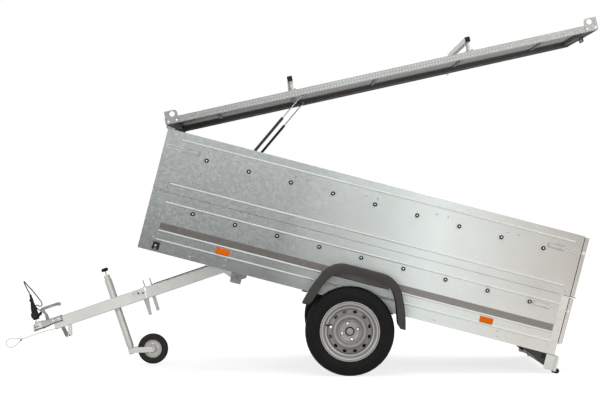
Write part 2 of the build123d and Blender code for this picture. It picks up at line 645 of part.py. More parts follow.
with BuildPart() as reflectors:
    for _, side in SIDES:
        for reflector_x in REFLECTORS_X:
            slab((reflector_x - REFLECTOR_SIZE[0] / 2, reflector_x + REFLECTOR_SIZE[0] / 2),
                 span(side, BOX_HALF_WIDTH, BOX_HALF_WIDTH + REFLECTOR_DEPTH),
                 (REFLECTOR_Z - REFLECTOR_SIZE[1] / 2, REFLECTOR_Z + REFLECTOR_SIZE[1] / 2))
finish(reflectors, "side_reflectors", BOX_SEAT)

MARKER_X = 11
MARKER_Z = -712.5
MARKER_SIZE = (46, 45)
MARKER_DEPTH = 22

with BuildPart() as marker_lamps:
    for _, side in SIDES:
        slab((MARKER_X - MARKER_SIZE[0] / 2, MARKER_X + MARKER_SIZE[0] / 2),
             span(side, BOX_HALF_WIDTH, BOX_HALF_WIDTH + MARKER_DEPTH),
             (MARKER_Z - MARKER_SIZE[1] / 2, MARKER_Z + MARKER_SIZE[1] / 2))
finish(marker_lamps, "marker_lamps", BOX_SEAT)

LATCH_HALF_HEIGHT = 16
LATCH_DEPTH = 9
LATCH_SPANS = (                    # front x, rear x, height z of each toggle latch
    (side_end_x - 185, side_end_x, UPPER_LATCH_Z), (side_end_x - 185, side_end_x, LOWER_LATCH_Z),
    (20, 234, UPPER_LATCH_Z))

with BuildPart() as latches:
    for _, side in SIDES:
        for front_x, rear_x, latch_z in LATCH_SPANS:
            slab((front_x, rear_x), span(side, BOX_HALF_WIDTH, BOX_HALF_WIDTH + LATCH_DEPTH),
                 (latch_z - LATCH_HALF_HEIGHT, latch_z + LATCH_HALF_HEIGHT))
finish(latches, "toggle_latches", BOX_SEAT)

# ---------------------------------------------------------------- lid hinges and strut brackets
LID_PIN_RADIUS = 4
LUG_Y = (BOX_HALF_WIDTH - 16, BOX_HALF_WIDTH - 4)
EAR_Y = (BOX_HALF_WIDTH - 36, BOX_HALF_WIDTH - 26)
LUG_RADIUS = 10

with BuildPart() as lid_hinges:
    for _, side in SIDES:
        rod_y(LID_HINGE_X, LID_HINGE_Z, span(side, *LUG_Y), LUG_RADIUS)
        slab((0, 40), span(side, *LUG_Y), (0, LID_HINGE_Z + 4))
        slab((LID_HINGE_X, 0), span(side, *LUG_Y), (LID_HINGE_Z - LUG_RADIUS, LID_HINGE_Z + 4))
        rod_y(LID_HINGE_X, LID_HINGE_Z, span(side, EAR_Y[0] - 4, LUG_Y[0]), LID_PIN_RADIUS)
        slab((0, 40), span(side, *LUG_Y), (-20, 0), mode=Mode.SUBTRACT)
finish(lid_hinges, "lid_hinges", BOX_SEAT)

with BuildPart() as strut_brackets:
    for _, side in SIDES:
        slab((STRUT_LOWER_X - 25, STRUT_LOWER_X + 25), span(side, inner_half - 4, inner_half),
             (STRUT_LOWER_Z - 20, STRUT_LOWER_Z + 20))
        rod_y(STRUT_LOWER_X, STRUT_LOWER_Z, span(side, STRUT_Y - 8, inner_half - 4),
              STRUT_PIN_RADIUS)
finish(strut_brackets, "strut_brackets", BOX_SEAT)

# ---------------------------------------------------------------- lid
lid_top = LID_RIM_BOTTOM + LID_RIM_HEIGHT
frame_top = lid_top - LID_SHEET
frame_x = (LID_FRONT_X + LID_SHEET, LID_REAR_X - LID_SHEET)
frame_half = LID_HALF_WIDTH - LID_SHEET

with BuildPart() as lid:
    slab((LID_FRONT_X, LID_REAR_X), (-LID_HALF_WIDTH, LID_HALF_WIDTH), (LID_RIM_BOTTOM, lid_top))
    slab(frame_x, (-frame_half, frame_half), (LID_RIM_BOTTOM, frame_top), mode=Mode.SUBTRACT)
finish(lid, "lid", LID_SEAT)

LID_CROSS_TUBES_X = (300, ROOF_BAR_X[0], 1360, ROOF_BAR_X[1], LID_REAR_X - 258)
frame_z = (frame_top - LID_TUBE, frame_top)

with BuildPart() as lid_frame:
    slab(frame_x, (-frame_half, frame_half), frame_z)
    slab((frame_x[0] + LID_TUBE, frame_x[1] - LID_TUBE),
         (-frame_half + LID_TUBE, frame_half - LID_TUBE), frame_z, mode=Mode.SUBTRACT)
    for tube_x in LID_CROSS_TUBES_X:
        slab((tube_x - LID_TUBE / 2, tube_x + LID_TUBE / 2), (-frame_half, frame_half),
             (frame_top - LID_STIFFENER, frame_top))
    for _, side in SIDES:
        ear_y = span(side, *EAR_Y)
        plate_xz(((-6, frame_z[0]), (40, frame_z[0]), (40, 14), (8, -8), (-6, -8)), ear_y)
        rod_y(0, 0, ear_y, LUG_RADIUS)
        rod_y(0, 0, ear_y, LID_PIN_RADIUS + PIN_CLEARANCE, mode=Mode.SUBTRACT)
        hanger_y = span(side, STRUT_Y + 12, STRUT_Y + 18)
        slab((STRUT_UPPER_LID_X - 20, STRUT_UPPER_LID_X + 20), hanger_y,
             (STRUT_UPPER_LID_Z - 14, frame_z[0]))
        slab((STRUT_UPPER_LID_X - 20, STRUT_UPPER_LID_X + 20),
             span(side, STRUT_Y + 12, frame_half - LID_TUBE), (frame_z[0], frame_top))
        rod_y(STRUT_UPPER_LID_X, STRUT_UPPER_LID_Z, span(side, STRUT_Y + 5.3, STRUT_Y + 12),
              STRUT_PIN_RADIUS)
    slab((frame_x[1] - 4, frame_x[1]), (-75, 75), (LID_RIM_BOTTOM - 22, frame_z[0]))
finish(lid_frame, "lid_frame", LID_SEAT)

bar_z = lid_top + ROOF_BAR_RISE
bar_half_length = LID_HALF_WIDTH - 12

with BuildPart() as roof_bars:
    for bar_x in ROOF_BAR_X:
        slab((bar_x - ROOF_BAR_SIZE / 2, bar_x + ROOF_BAR_SIZE / 2),
             (-bar_half_length, bar_half_length), (bar_z, bar_z + ROOF_BAR_SIZE))
        for _, side in SIDES:
            foot_y = span(side, LID_HALF_WIDTH - 85, LID_HALF_WIDTH - 53)
            slab((bar_x - ROOF_POST_WIDTH / 2, bar_x + ROOF_POST_WIDTH / 2), foot_y, (lid_top, bar_z))
            slab((bar_x - ROOF_POST_WIDTH, bar_x + ROOF_POST_WIDTH),
                 span(side, LID_HALF_WIDTH - 100, LID_HALF_WIDTH - 38), (lid_top, lid_top + 5))
finish(roof_bars, "roof_bars", LID_SEAT)

with BuildPart() as roof_bar_caps:
    for bar_x in ROOF_BAR_X:
        for _, side in SIDES:
            slab((bar_x - ROOF_BAR_SIZE / 2, bar_x + ROOF_BAR_SIZE / 2),
                 span(side, bar_half_length, bar_half_length + 8), (bar_z, bar_z + ROOF_BAR_SIZE))
finish(roof_bar_caps, "roof_bar_caps", LID_SEAT)

EYELETS = (                        # middle x, and which way the lid's middle lies
    (LID_FRONT_X + 46, 1), (LID_REAR_X - 38, -1))
eyelet_top = lid_top + EYELET_RISE

with BuildPart() as eyelets:
    for _, side in SIDES:
        for eyelet_x, inward in EYELETS:
            eyelet_y = span(side, LID_HALF_WIDTH, LID_HALF_WIDTH + EYELET_SHEET)
            outer_x = eyelet_x - inward * EYELET_LENGTH / 2
            inner_x = eyelet_x + inward * EYELET_LENGTH / 2
            plate_xz(((outer_x, LID_RIM_BOTTOM + 2), (inner_x, LID_RIM_BOTTOM + 2),
                      (inner_x, eyelet_top - EYELET_CORNER),
                      (inner_x - inward * EYELET_CORNER * 0.3, eyelet_top - EYELET_CORNER * 0.3),
                      (inner_x - inward * EYELET_CORNER, eyelet_top),
                      (outer_x, eyelet_top)), eyelet_y)
            rod_y(eyelet_x + inward * EYELET_HOLE_SHIFT, lid_top + EYELET_HOLE_RISE, eyelet_y,
                  EYELET_HOLE_RADIUS, mode=Mode.SUBTRACT)
finish(eyelets, "lid_eyelets", LID_SEAT)

# ---------------------------------------------------------------- gas struts
upper_dx, upper_dz = turned(STRUT_UPPER_LID_X, STRUT_UPPER_LID_Z, -LID_OPEN_ANGLE)
strut_dx = LID_HINGE_X + upper_dx - STRUT_LOWER_X
strut_dz = LID_HINGE_Z + upper_dz - STRUT_LOWER_Z
strut_length = hypot(strut_dx, strut_dz)
STRUT_SEAT = BOX_SEAT * Location((STRUT_LOWER_X, 0, STRUT_LOWER_Z),
                                 (0, -degrees(atan2(strut_dz, strut_dx)), 0))

for side_name, side in SIDES:
    eye_y = span(side, STRUT_Y - 5, STRUT_Y + 5)
    with BuildPart() as strut_cylinder:
        rod_y(0, 0, eye_y, STRUT_EYE_RADIUS)
        rod_x((STRUT_EYE_RADIUS - 2, STRUT_CYLINDER_LENGTH), side * STRUT_Y, 0,
              STRUT_CYLINDER_RADIUS)
        rod_y(0, 0, eye_y, STRUT_PIN_RADIUS + PIN_CLEARANCE, mode=Mode.SUBTRACT)
        rod_x((60, STRUT_CYLINDER_LENGTH), side * STRUT_Y, 0, STRUT_ROD_RADIUS + PIN_CLEARANCE,
              mode=Mode.SUBTRACT)
    finish(strut_cylinder, f"strut_cylinder_{side_name}", STRUT_SEAT)

    with BuildPart() as strut_rod:
        rod_x((STRUT_CYLINDER_LENGTH - 60, strut_length - STRUT_EYE_RADIUS + 2), side * STRUT_Y, 0,
              STRUT_ROD_RADIUS)
        rod_y(strut_length, 0, eye_y, STRUT_EYE_RADIUS)
        rod_y(strut_length, 0, eye_y, STRUT_PIN_RADIUS + 0.3, mode=Mode.SUBTRACT)
    finish(strut_rod, f"strut_rod_{side_name}", STRUT_SEAT)

# ---------------------------------------------------------------- drawbar
bar_z_limits = (BAR_OFFSET - BAR_HEIGHT / 2, BAR_OFFSET + BAR_HEIGHT / 2)
bar_y_limits = (-BAR_WIDTH / 2, BAR_WIDTH / 2)

with BuildPart() as drawbar:
    slab((BAR_FRONT_X, BAR_REAR_X), bar_y_limits, bar_z_limits)
    fillet(drawbar.edges().filter_by(Axis.X), 6)
    slab((BAR_FRONT_X, BAR_REAR_X), (bar_y_limits[0] + BAR_WALL, bar_y_limits[1] - BAR_WALL),
         (bar_z_limits[0] + BAR_WALL, bar_z_limits[1] - BAR_WALL), mode=Mode.SUBTRACT)
    for _, side in SIDES:
        tail_y = span(side, BAR_WIDTH / 2, BAR_WIDTH / 2 + 8)
        plate_xz(((-62, bar_z_limits[0] + 30), (-62, bar_z_limits[0]), (-21, 10), (-15, -20),
                  (15, -20), (BAR_REAR_X, bar_z_limits[0]), (BAR_REAR_X, bar_z_limits[0] + 30)), tail_y)
        rod_y(0, 0, tail_y, PIVOT_RADIUS + PIN_CLEARANCE, mode=Mode.SUBTRACT)
finish(drawbar, "drawbar", DRAWBAR_SEAT)

NOSE_X = -1365
SOCKET_X = -1325
SOCKET_RADIUS = 25.5

COUPLING_REAR_X = -1162
COUPLING_HALF_WIDTH = 33
COUPLING_NOSE_RADIUS = 40
COUPLING_SHEET = 4
SOCKET_HEIGHT = 26                 # from the coupling's lower lip to the middle of the ball
coupling_lip = BAR_OFFSET - 8
coupling_top = bar_z_limits[1] + COUPLING_SHEET

with BuildPart() as coupling_head:
    with BuildSketch(Plane.XY.offset(coupling_lip)):
        with Locations((SOCKET_X, 0)):
            Circle(COUPLING_NOSE_RADIUS)
        with Locations(((SOCKET_X + COUPLING_REAR_X) / 2, 0)):
            Rectangle(COUPLING_REAR_X - SOCKET_X, 2 * COUPLING_HALF_WIDTH)
    extrude(amount=60)
    plate_xz(((NOSE_X, coupling_lip), (NOSE_X + 3, coupling_lip + 27), (NOSE_X + 10, coupling_lip + 45),
              (NOSE_X + 25, coupling_lip + 55), (SOCKET_X + 5, coupling_lip + 58),
              (SOCKET_X + 30, coupling_top + 5), (SOCKET_X + 50, coupling_top),
              (COUPLING_REAR_X, coupling_top), (COUPLING_REAR_X, BAR_OFFSET),
              (BAR_FRONT_X, BAR_OFFSET), (BAR_FRONT_X - 60, coupling_lip)),
             (-COUPLING_NOSE_RADIUS, COUPLING_NOSE_RADIUS), mode=Mode.INTERSECT)
    slab((BAR_FRONT_X, COUPLING_REAR_X), bar_y_limits, bar_z_limits, mode=Mode.SUBTRACT)
    with Locations((SOCKET_X, 0, coupling_lip + SOCKET_HEIGHT)):
        Sphere(SOCKET_RADIUS, mode=Mode.SUBTRACT)
    rod_z(SOCKET_X, 0, (coupling_lip, coupling_lip + SOCKET_HEIGHT), SOCKET_RADIUS, mode=Mode.SUBTRACT)
finish(coupling_head, "coupling_head", DRAWBAR_SEAT)

# the lever leans forward from its root, then turns back into a straight grip
LEVER_ROOT_X = (-1269, -1244)
LEVER_END_X = -1138
LEVER_TOP = 230

with BuildPart() as coupling_handle:
    plate_xz(((LEVER_ROOT_X[0], coupling_top), (LEVER_ROOT_X[1], coupling_top),
              (LEVER_ROOT_X[1] + 1, LEVER_TOP - 58), (LEVER_ROOT_X[1] - 8, LEVER_TOP - 38),
              (LEVER_ROOT_X[1] - 14, LEVER_TOP - 20), (LEVER_END_X - 30, LEVER_TOP - 18),
              (LEVER_END_X - 14, LEVER_TOP - 30), (LEVER_END_X - 2, LEVER_TOP - 24),
              (LEVER_END_X, LEVER_TOP - 10), (LEVER_END_X - 18, LEVER_TOP),
              (LEVER_ROOT_X[0], LEVER_TOP), (LEVER_ROOT_X[0] - 16, LEVER_TOP - 10),
              (LEVER_ROOT_X[0] - 15, LEVER_TOP - 24), (LEVER_ROOT_X[0], LEVER_TOP - 37),
              (LEVER_ROOT_X[0] + 5, LEVER_TOP - 58)), (-9, 9))
finish(coupling_handle, "coupling_handle", DRAWBAR_SEAT)

LATCH_STATION_X = -580
LATCH_SHEET = 5
LATCH_PIN_Z = 114

with BuildPart() as latch_bracket:
    plate_xz(((LATCH_STATION_X - 30, LATCH_PIN_Z - 22), (LATCH_STATION_X - 12, LATCH_PIN_Z - 40),
              (LATCH_STATION_X + 14, LATCH_PIN_Z - 46), (LATCH_STATION_X + 31, LATCH_PIN_Z - 30),
              (LATCH_STATION_X + 33, LATCH_PIN_Z + 4), (LATCH_STATION_X + 24, LATCH_PIN_Z + 25),
              (LATCH_STATION_X - 10, LATCH_PIN_Z + 32), (LATCH_STATION_X - 28, LATCH_PIN_Z + 24)),
             (-BAR_WIDTH / 2 - LATCH_SHEET, -BAR_WIDTH / 2))
    rod_x((LATCH_STATION_X - 58, LATCH_STATION_X - 28), -BAR_WIDTH / 2 - LATCH_SHEET, LATCH_PIN_Z,
          LATCH_SHEET)
finish(latch_bracket, "latch_bracket", DRAWBAR_SEAT)

TIE_Y = (-12, 8)
TIE_ROD_RADIUS = 4

with BuildPart() as tie_bolts:
    plate_xz(((LATCH_STATION_X - 36, bar_z_limits[0]), (LATCH_STATION_X - 4, bar_z_limits[0]),
              (LATCH_STATION_X - 19, bar_z_limits[0] - 109),
              (LATCH_STATION_X - 35, bar_z_limits[0] - 109)), TIE_Y)
    plate_xz(((LATCH_STATION_X + 23, bar_z_limits[0]), (LATCH_STATION_X + 43, bar_z_limits[0]),
              (LATCH_STATION_X + 41, bar_z_limits[0] - 97),
              (LATCH_STATION_X + 22, bar_z_limits[0] - 97)), TIE_Y)
    for tie_x in (LATCH_STATION_X - 2, LATCH_STATION_X + 44):
        rod_z(tie_x, 0, (bar_z_limits[1], bar_z_limits[1] + 48), TIE_ROD_RADIUS)
finish(tie_bolts, "tie_bolts", DRAWBAR_SEAT)

with BuildPart() as lower_bracket:
    plate_xz(((-1188, bar_z_limits[0]), (-1167, bar_z_limits[0]), (-1157, 5), (-1164, -7),
              (-1180, -4)), (-14, 14))
    plate_xz(((-1142, bar_z_limits[0]), (-1115, bar_z_limits[0]), (-1138, -10), (-1164, -7),
              (-1160, 5)), (-18, 18))
finish(lower_bracket, "lower_bracket", DRAWBAR_SEAT)

with BuildPart() as drawbar_cable:
    rod_x((-520, -150), 0, bar_z_limits[1] + 3, 3)
finish(drawbar_cable, "drawbar_cable", DRAWBAR_SEAT)

# ---------------------------------------------------------------- jockey wheel
with BuildPart() as jockey_clamp:
    slab((JOCKEY_X - 36, JOCKEY_X + 36), (BAR_WIDTH / 2, JOCKEY_Y), (bar_z_limits[0] + 8, bar_z_limits[1] - 8))
    rod_z(JOCKEY_X, JOCKEY_Y, (bar_z_limits[0] + 8, bar_z_limits[1] - 8), JOCKEY_TUBE_RADIUS + 7)
    rod_z(JOCKEY_X, JOCKEY_Y, (bar_z_limits[0], bar_z_limits[1]),
          JOCKEY_TUBE_RADIUS + SLIDE_CLEARANCE, mode=Mode.SUBTRACT)
finish(jockey_clamp, "jockey_clamp", DRAWBAR_SEAT)

with BuildPart() as jockey_crank:
    rod_z(JOCKEY_X, JOCKEY_Y, (JOCKEY_TUBE_TOP, JOCKEY_TUBE_TOP + 29), JOCKEY_LEG_RADIUS)
    rod_z(JOCKEY_X, JOCKEY_Y, (JOCKEY_TUBE_TOP + 29, JOCKEY_TUBE_TOP + 56), 5)
    rod_z(JOCKEY_X, JOCKEY_Y, (JOCKEY_TUBE_TOP + 56, JOCKEY_TUBE_TOP + 78), 22)
finish(jockey_crank, "jockey_crank", DRAWBAR_SEAT)

# the leg is drawn out until the wheel stands on the ground
slope = radians(DRAWBAR_SLOPE)
wheel_local_x = JOCKEY_X + JOCKEY_TRAIL
jockey_axle_z = (JOCKEY_WHEEL_RADIUS - pivot_origin[1] - wheel_local_x * sin(slope)) / cos(slope)
swivel_z = jockey_axle_z + 16 + 24
leg_foot = swivel_z + 8
tube_bottom = leg_foot + JOCKEY_LEG_SHOWN

with BuildPart() as jockey_tube:
    rod_z(JOCKEY_X, JOCKEY_Y, (tube_bottom, JOCKEY_TUBE_TOP), JOCKEY_TUBE_RADIUS)
    rod_z(JOCKEY_X, JOCKEY_Y, (leg_foot, tube_bottom), JOCKEY_LEG_RADIUS)
    rod_z(JOCKEY_X, JOCKEY_Y, (swivel_z - 14, leg_foot), SWIVEL_PIN_RADIUS)
finish(jockey_tube, "jockey_tube", DRAWBAR_SEAT)

FORK_HALF_GAP = JOCKEY_WHEEL_WIDTH / 2 + 5
FORK_SHEET = 4
JOCKEY_AXLE_RADIUS = 8
crown_z = (swivel_z - 30, swivel_z + 7.7)

with BuildPart() as jockey_fork:
    rod_z(JOCKEY_X, JOCKEY_Y, crown_z, JOCKEY_TUBE_RADIUS)
    slab((JOCKEY_X - 16, JOCKEY_X + 20), (JOCKEY_Y - FORK_HALF_GAP, JOCKEY_Y + FORK_HALF_GAP),
         (crown_z[0] + 4, crown_z[1]))
    for _, side in SIDES:
        near, far = span(side, FORK_HALF_GAP, FORK_HALF_GAP + FORK_SHEET)
        plate_xz(((JOCKEY_X - 16, crown_z[1]), (JOCKEY_X + 26, crown_z[1]),
                  (wheel_local_x + 4, jockey_axle_z + 16), (wheel_local_x + 15, jockey_axle_z + 6),
                  (wheel_local_x + 13, jockey_axle_z - 14), (wheel_local_x - 2, jockey_axle_z - 24),
                  (JOCKEY_X + 10, crown_z[0] + 4), (JOCKEY_X - 16, crown_z[0] + 10)),
                 (JOCKEY_Y + near, JOCKEY_Y + far))
    rod_z(JOCKEY_X, JOCKEY_Y, crown_z, JOCKEY_AXLE_RADIUS + PIN_CLEARANCE, mode=Mode.SUBTRACT)
    rod_y(wheel_local_x, jockey_axle_z,
          (JOCKEY_Y - FORK_HALF_GAP - 8, JOCKEY_Y + FORK_HALF_GAP + 8), JOCKEY_AXLE_RADIUS)
finish(jockey_fork, "jockey_fork", DRAWBAR_SEAT)

with BuildPart() as jockey_hub:
    rod_y(wheel_local_x, jockey_axle_z, (JOCKEY_Y - 26, JOCKEY_Y + 26), 59)
    rod_y(wheel_local_x, jockey_axle_z, (JOCKEY_Y - 33, JOCKEY_Y + 33), 20)
    rod_y(wheel_local_x, jockey_axle_z, (JOCKEY_Y - 33, JOCKEY_Y + 33), 8 + PIN_CLEARANCE,
          mode=Mode.SUBTRACT)
finish(jockey_hub, "jockey_hub", DRAWBAR_SEAT)

with BuildPart() as jockey_tyre:
    rod_y(wheel_local_x, jockey_axle_z,
          (JOCKEY_Y - JOCKEY_WHEEL_WIDTH / 2, JOCKEY_Y + JOCKEY_WHEEL_WIDTH / 2), JOCKEY_WHEEL_RADIUS)
    fillet(jockey_tyre.edges(), 14)
    rod_y(wheel_local_x, jockey_axle_z, (JOCKEY_Y - 60, JOCKEY_Y + 60), 59, mode=Mode.SUBTRACT)
finish(jockey_tyre, "jockey_tyre", DRAWBAR_SEAT)

# ---------------------------------------------------------------- plug, its holder and the cords
# places along the drawbar and up from its pin: the plug stands on the coupling in its holder
PLUG_TOP_PLACE = (-1312.3985, 334.6291)
PLUG_BOTTOM_PLACE = (-1326.0020, 169.3664)
HOLDER_FOOT_PLACE = (-1342.3165, 142.6887)
PLUG_SECTION = (                   # distance from the pin end, radius
    (0, 20), (8, 25), (30, 25), (46, 21), (75, 19), (95, 15), (110, 12), (136, 11), (141, 8.5),
    (165.8, 7))


def on_drawbar(place):
    """A point of the drawbar frame's middle plane in the ground frame."""
    dx, dz = turned(*place, -DRAWBAR_SLOPE)
    return Vector(pivot_origin[0] + dx, 0, pivot_origin[1] + dz)


plug_top = on_drawbar(PLUG_TOP_PLACE)
plug_bottom = on_drawbar(PLUG_BOTTOM_PLACE)
plug_axis = (plug_top - plug_bottom).normalized()

with BuildPart() as plug:
    for (start, start_radius), (end, end_radius) in zip(PLUG_SECTION, PLUG_SECTION[1:]):
        with BuildSketch(Plane(plug_bottom + plug_axis * start, z_dir=plug_axis)):
            Circle(start_radius)
        with BuildSketch(Plane(plug_bottom + plug_axis * end, z_dir=plug_axis)):
            Circle(end_radius)
        loft()
finish(plug, "plug", GROUND_SEAT)

HOLDER_THICKNESS = 4
holder_seat = Plane(plug_bottom, z_dir=plug_axis)

with BuildPart() as plug_holder:
    with BuildSketch(holder_seat.offset(-HOLDER_THICKNESS)):
        Circle(22)
    extrude(amount=HOLDER_THICKNESS)
    strap_foot = on_drawbar(HOLDER_FOOT_PLACE)
    strap_head = plug_bottom - plug_axis * HOLDER_THICKNESS
    strap_run = strap_head - strap_foot
    with BuildSketch(Plane(strap_foot, x_dir=(0, 1, 0), z_dir=strap_run.normalized())):
        Rectangle(20, HOLDER_THICKNESS)
    extrude(amount=strap_run.length + 1)
finish(plug_holder, "plug_holder", GROUND_SEAT)

# routes in the ground frame: the ends are where the cords leave the object
PLUG_CABLE_DIAMETER = 7
PLUG_CABLE_ROUTE = (
    (-1958, 24, 292), (-1964, 42, 312), (-2005, 50, 343), (-2036, 52, 360), (-2052, 52, 380),
    (-2037, 50, 389), (-2021, 47, 377), (-2007, 46, 384), (-2006, 46, 402), (-2021, 46, 422),
    (-2069, 46, 483), (-2105, 44, 521), (-2119, 34, 540), (-2121, 18, 545), (-2117, 4, 535),
    (-2107, 0, 514), (-2087, 0, 475), (-2077.2, 0, 459.4))

SAFETY_CABLE_DIAMETER = 5
SAFETY_CABLE_ROUTE = (
    (-1900, -25, 238), (-1900, -34, 238), (-1922, -38, 235), (-1965, -38, 225), (-2043, -38, 199),
    (-2128, -32, 167), (-2160, -30, 175), (-2199, -28, 173), (-2224, -27, 163), (-2233, -25, 142),
    (-2225, -23, 121), (-2202, -21, 109), (-2177, -20, 121), (-2152, -22, 142), (-2137, -27, 158))

CORDS = (                          # name, diameter, route
    ("plug_cable", PLUG_CABLE_DIAMETER, PLUG_CABLE_ROUTE),
    ("safety_cable", SAFETY_CABLE_DIAMETER, SAFETY_CABLE_ROUTE),
)

for cord_name, diameter, route in CORDS:
    stations = [Vector(*place) for place in route]
    radii = []
    for before, corner, after in zip(stations, stations[1:], stations[2:]):
        shorter = min((corner - before).length, (after - corner).length)
        turn = (corner - before).get_angle(after - corner)
        radii.append(0.45 * shorter / tan(radians(turn / 2)))
    start_run = stations[1] - stations[0]
    with BuildPart() as cord:
        with BuildLine() as cord_line:
            FilletPolyline(*stations, radius=radii)
        with BuildSketch(Plane(stations[0], z_dir=start_run.normalized())):
            Circle(diameter / 2)
        sweep(path=cord_line.line)
    finish(cord, cord_name, GROUND_SEAT)
    section = pi * diameter ** 2 / 4
    cord_length = sum(edge.length for edge in cord_line.line.edges())
    print(f"{cord_name}: length {cord_length:.1f}, smallest radius {min(radii):.1f}, "
          f"volume over section {cord.part.volume / section:.1f}")

# ---------------------------------------------------------------- writing
FREE_NODES = ("plug", "plug_cable", "safety_cable")   # left out of the centring
os.makedirs("parts", exist_ok=True)
seated = []
for part, seat in finished:
    piece = part.moved(seat)
    piece.label = part.label
    seated.append(piece)

centred_by = [piece for piece in seated if piece.label not in FREE_NODES]
low_x = min(piece.bounding_box().min.X for piece in centred_by)
high_x = max(piece.bounding_box().max.X for piece in centred_by)
middle_x = (low_x + high_x) / 2
for piece in seated:
    centred = piece.moved(Location((-middle_x, 0, 0)))
    centred.label = piece.label
    export_step(centred, f"parts/{piece.label}.step")

print(f"tip angle {TIP_ANGLE:.3f} shift {-middle_x:.3f}")
print(f"strut length {strut_length:.2f}")
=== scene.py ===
"""Finish and small detail for the tipping box trailer with a hinged lid, around its solids."""
from math import asin, atan2, ceil, cos, degrees, hypot, pi, radians, sin, sqrt

import bmesh
import bpy
from mathutils import Matrix, Vector


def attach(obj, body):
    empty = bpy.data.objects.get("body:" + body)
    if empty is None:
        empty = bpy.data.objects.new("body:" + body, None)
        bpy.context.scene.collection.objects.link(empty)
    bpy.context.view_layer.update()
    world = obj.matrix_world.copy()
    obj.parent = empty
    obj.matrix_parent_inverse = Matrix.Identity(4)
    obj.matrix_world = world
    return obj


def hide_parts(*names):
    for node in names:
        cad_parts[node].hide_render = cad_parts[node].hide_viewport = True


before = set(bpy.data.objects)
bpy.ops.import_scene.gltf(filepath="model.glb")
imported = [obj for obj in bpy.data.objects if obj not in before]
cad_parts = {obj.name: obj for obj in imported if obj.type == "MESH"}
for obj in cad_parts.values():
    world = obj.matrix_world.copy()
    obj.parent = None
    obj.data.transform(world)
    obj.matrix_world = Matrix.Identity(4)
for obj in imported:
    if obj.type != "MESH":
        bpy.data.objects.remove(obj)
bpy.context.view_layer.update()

# -------------------- sizes in millimetres, as in the solids
MM = 0.001
ROW_SHIFT = 256.095                # from the axle line to the middle of the whole trailer
BOX_LENGTH = 2705
BOX_HALF_WIDTH = 640
SIDE_WALL = 22
SIDE_END_X = 2675
BOARD_JOINT_Z = -387
SIDE_BOTTOM_Z = -763
FLOOR_TOP_Z = -672
FLOOR_BOTTOM_Z = -681
RIB_HEIGHT = 6
RIB_SPREAD = 7                     # half the width of a swaged rib's foot
RIB_CLEARANCE = 2
RIB_RUN = (100, 2625)
UPPER_RIBS_Z = (-49, -329)
LOWER_RIBS_Z = (-447, -627, -684)
BOARD_PIN_STANDOFF = 11
KNUCKLE_PLACES = (-400, 0, 400)
TUNNEL_HALF_WIDTH = 42
TYRE_RADIUS = 274.5
WHEEL_TRACK_HALF = 742.5
WHEEL_X = 1402
WHEEL_Z = -929
RIM_RADIUS = 182
MOUNT_OFFSET = 30                  # the wheel disc's seat on its hub, outboard of the middle plane
FENDER_OUTLINE = ((327, 95), (306, 172), (274, 255), (246, 312), (218, 348), (188, 371),
                  (158, 384), (115, 391))
FENDER_INNER = ((297, 95), (275, 115), (255, 171), (240, 215), (221, 257), (197, 296),
                (168, 321), (130, 335), (73, 341))
FENDER_WIDTH = 195
FENDER_SKIRT_REACH = 178
FENDER_SKIRT_HEIGHT = 300
BUFFER_X = 2717
BUFFER_Z = -855
BUFFER_RADIUS = 16
LID_HINGE = (-4, 6)
LID_OPEN_ANGLE = 27.0
LID_X = (-9, 2738)
LID_HALF_WIDTH = 645
LID_RIM_Z = (14, 56)
LID_SHEET = 3
ROOF_BAR_X = (804, 1935)
ROOF_BAR_Z = (115, 147)
STRUT_Y = 585
STRUT_LOWER = (536, -38)
STRUT_UPPER = (867.5, 27)
DRAWBAR_SLOPE = 18.7
PIVOT = (626, -832)
BAR_Z = (63, 139)
BAR_HALF_WIDTH = 25
BAR_FRONT_X = -1225
SOCKET_X = -1325
SOCKET_RADIUS = 25.5
JOCKEY_X = -804
JOCKEY_Y = 60
JOCKEY_TRAIL = 136
JOCKEY_RADIUS = 100
SIDES = (("left", -1), ("right", 1))


def turned(x, z, angle):
    """A point of the x-z plane turned about the y axis by an angle in degrees."""
    turn = radians(angle)
    return x * cos(turn) + z * sin(turn), -x * sin(turn) + z * cos(turn)


buffer_arm = hypot(BUFFER_X - WHEEL_X, BUFFER_Z - WHEEL_Z)
TIP_ANGLE = degrees(asin((TYRE_RADIUS - BUFFER_RADIUS) / buffer_arm)
                    + atan2(BUFFER_Z - WHEEL_Z, BUFFER_X - WHEEL_X))
wheel_x, wheel_z = turned(WHEEL_X, WHEEL_Z, TIP_ANGLE)
box_origin = (ROW_SHIFT - wheel_x, TYRE_RADIUS - wheel_z)


def seat(x, z, angle):
    """A working frame's place in the row frame, in metres."""
    return Matrix.Translation((x * MM, 0, z * MM)) @ Matrix.Rotation(radians(angle), 4, "Y")


def in_row(x, z):
    """A point of the box frame in the row frame, in millimetres."""
    dx, dz = turned(x, z, TIP_ANGLE)
    return box_origin[0] + dx, box_origin[1] + dz


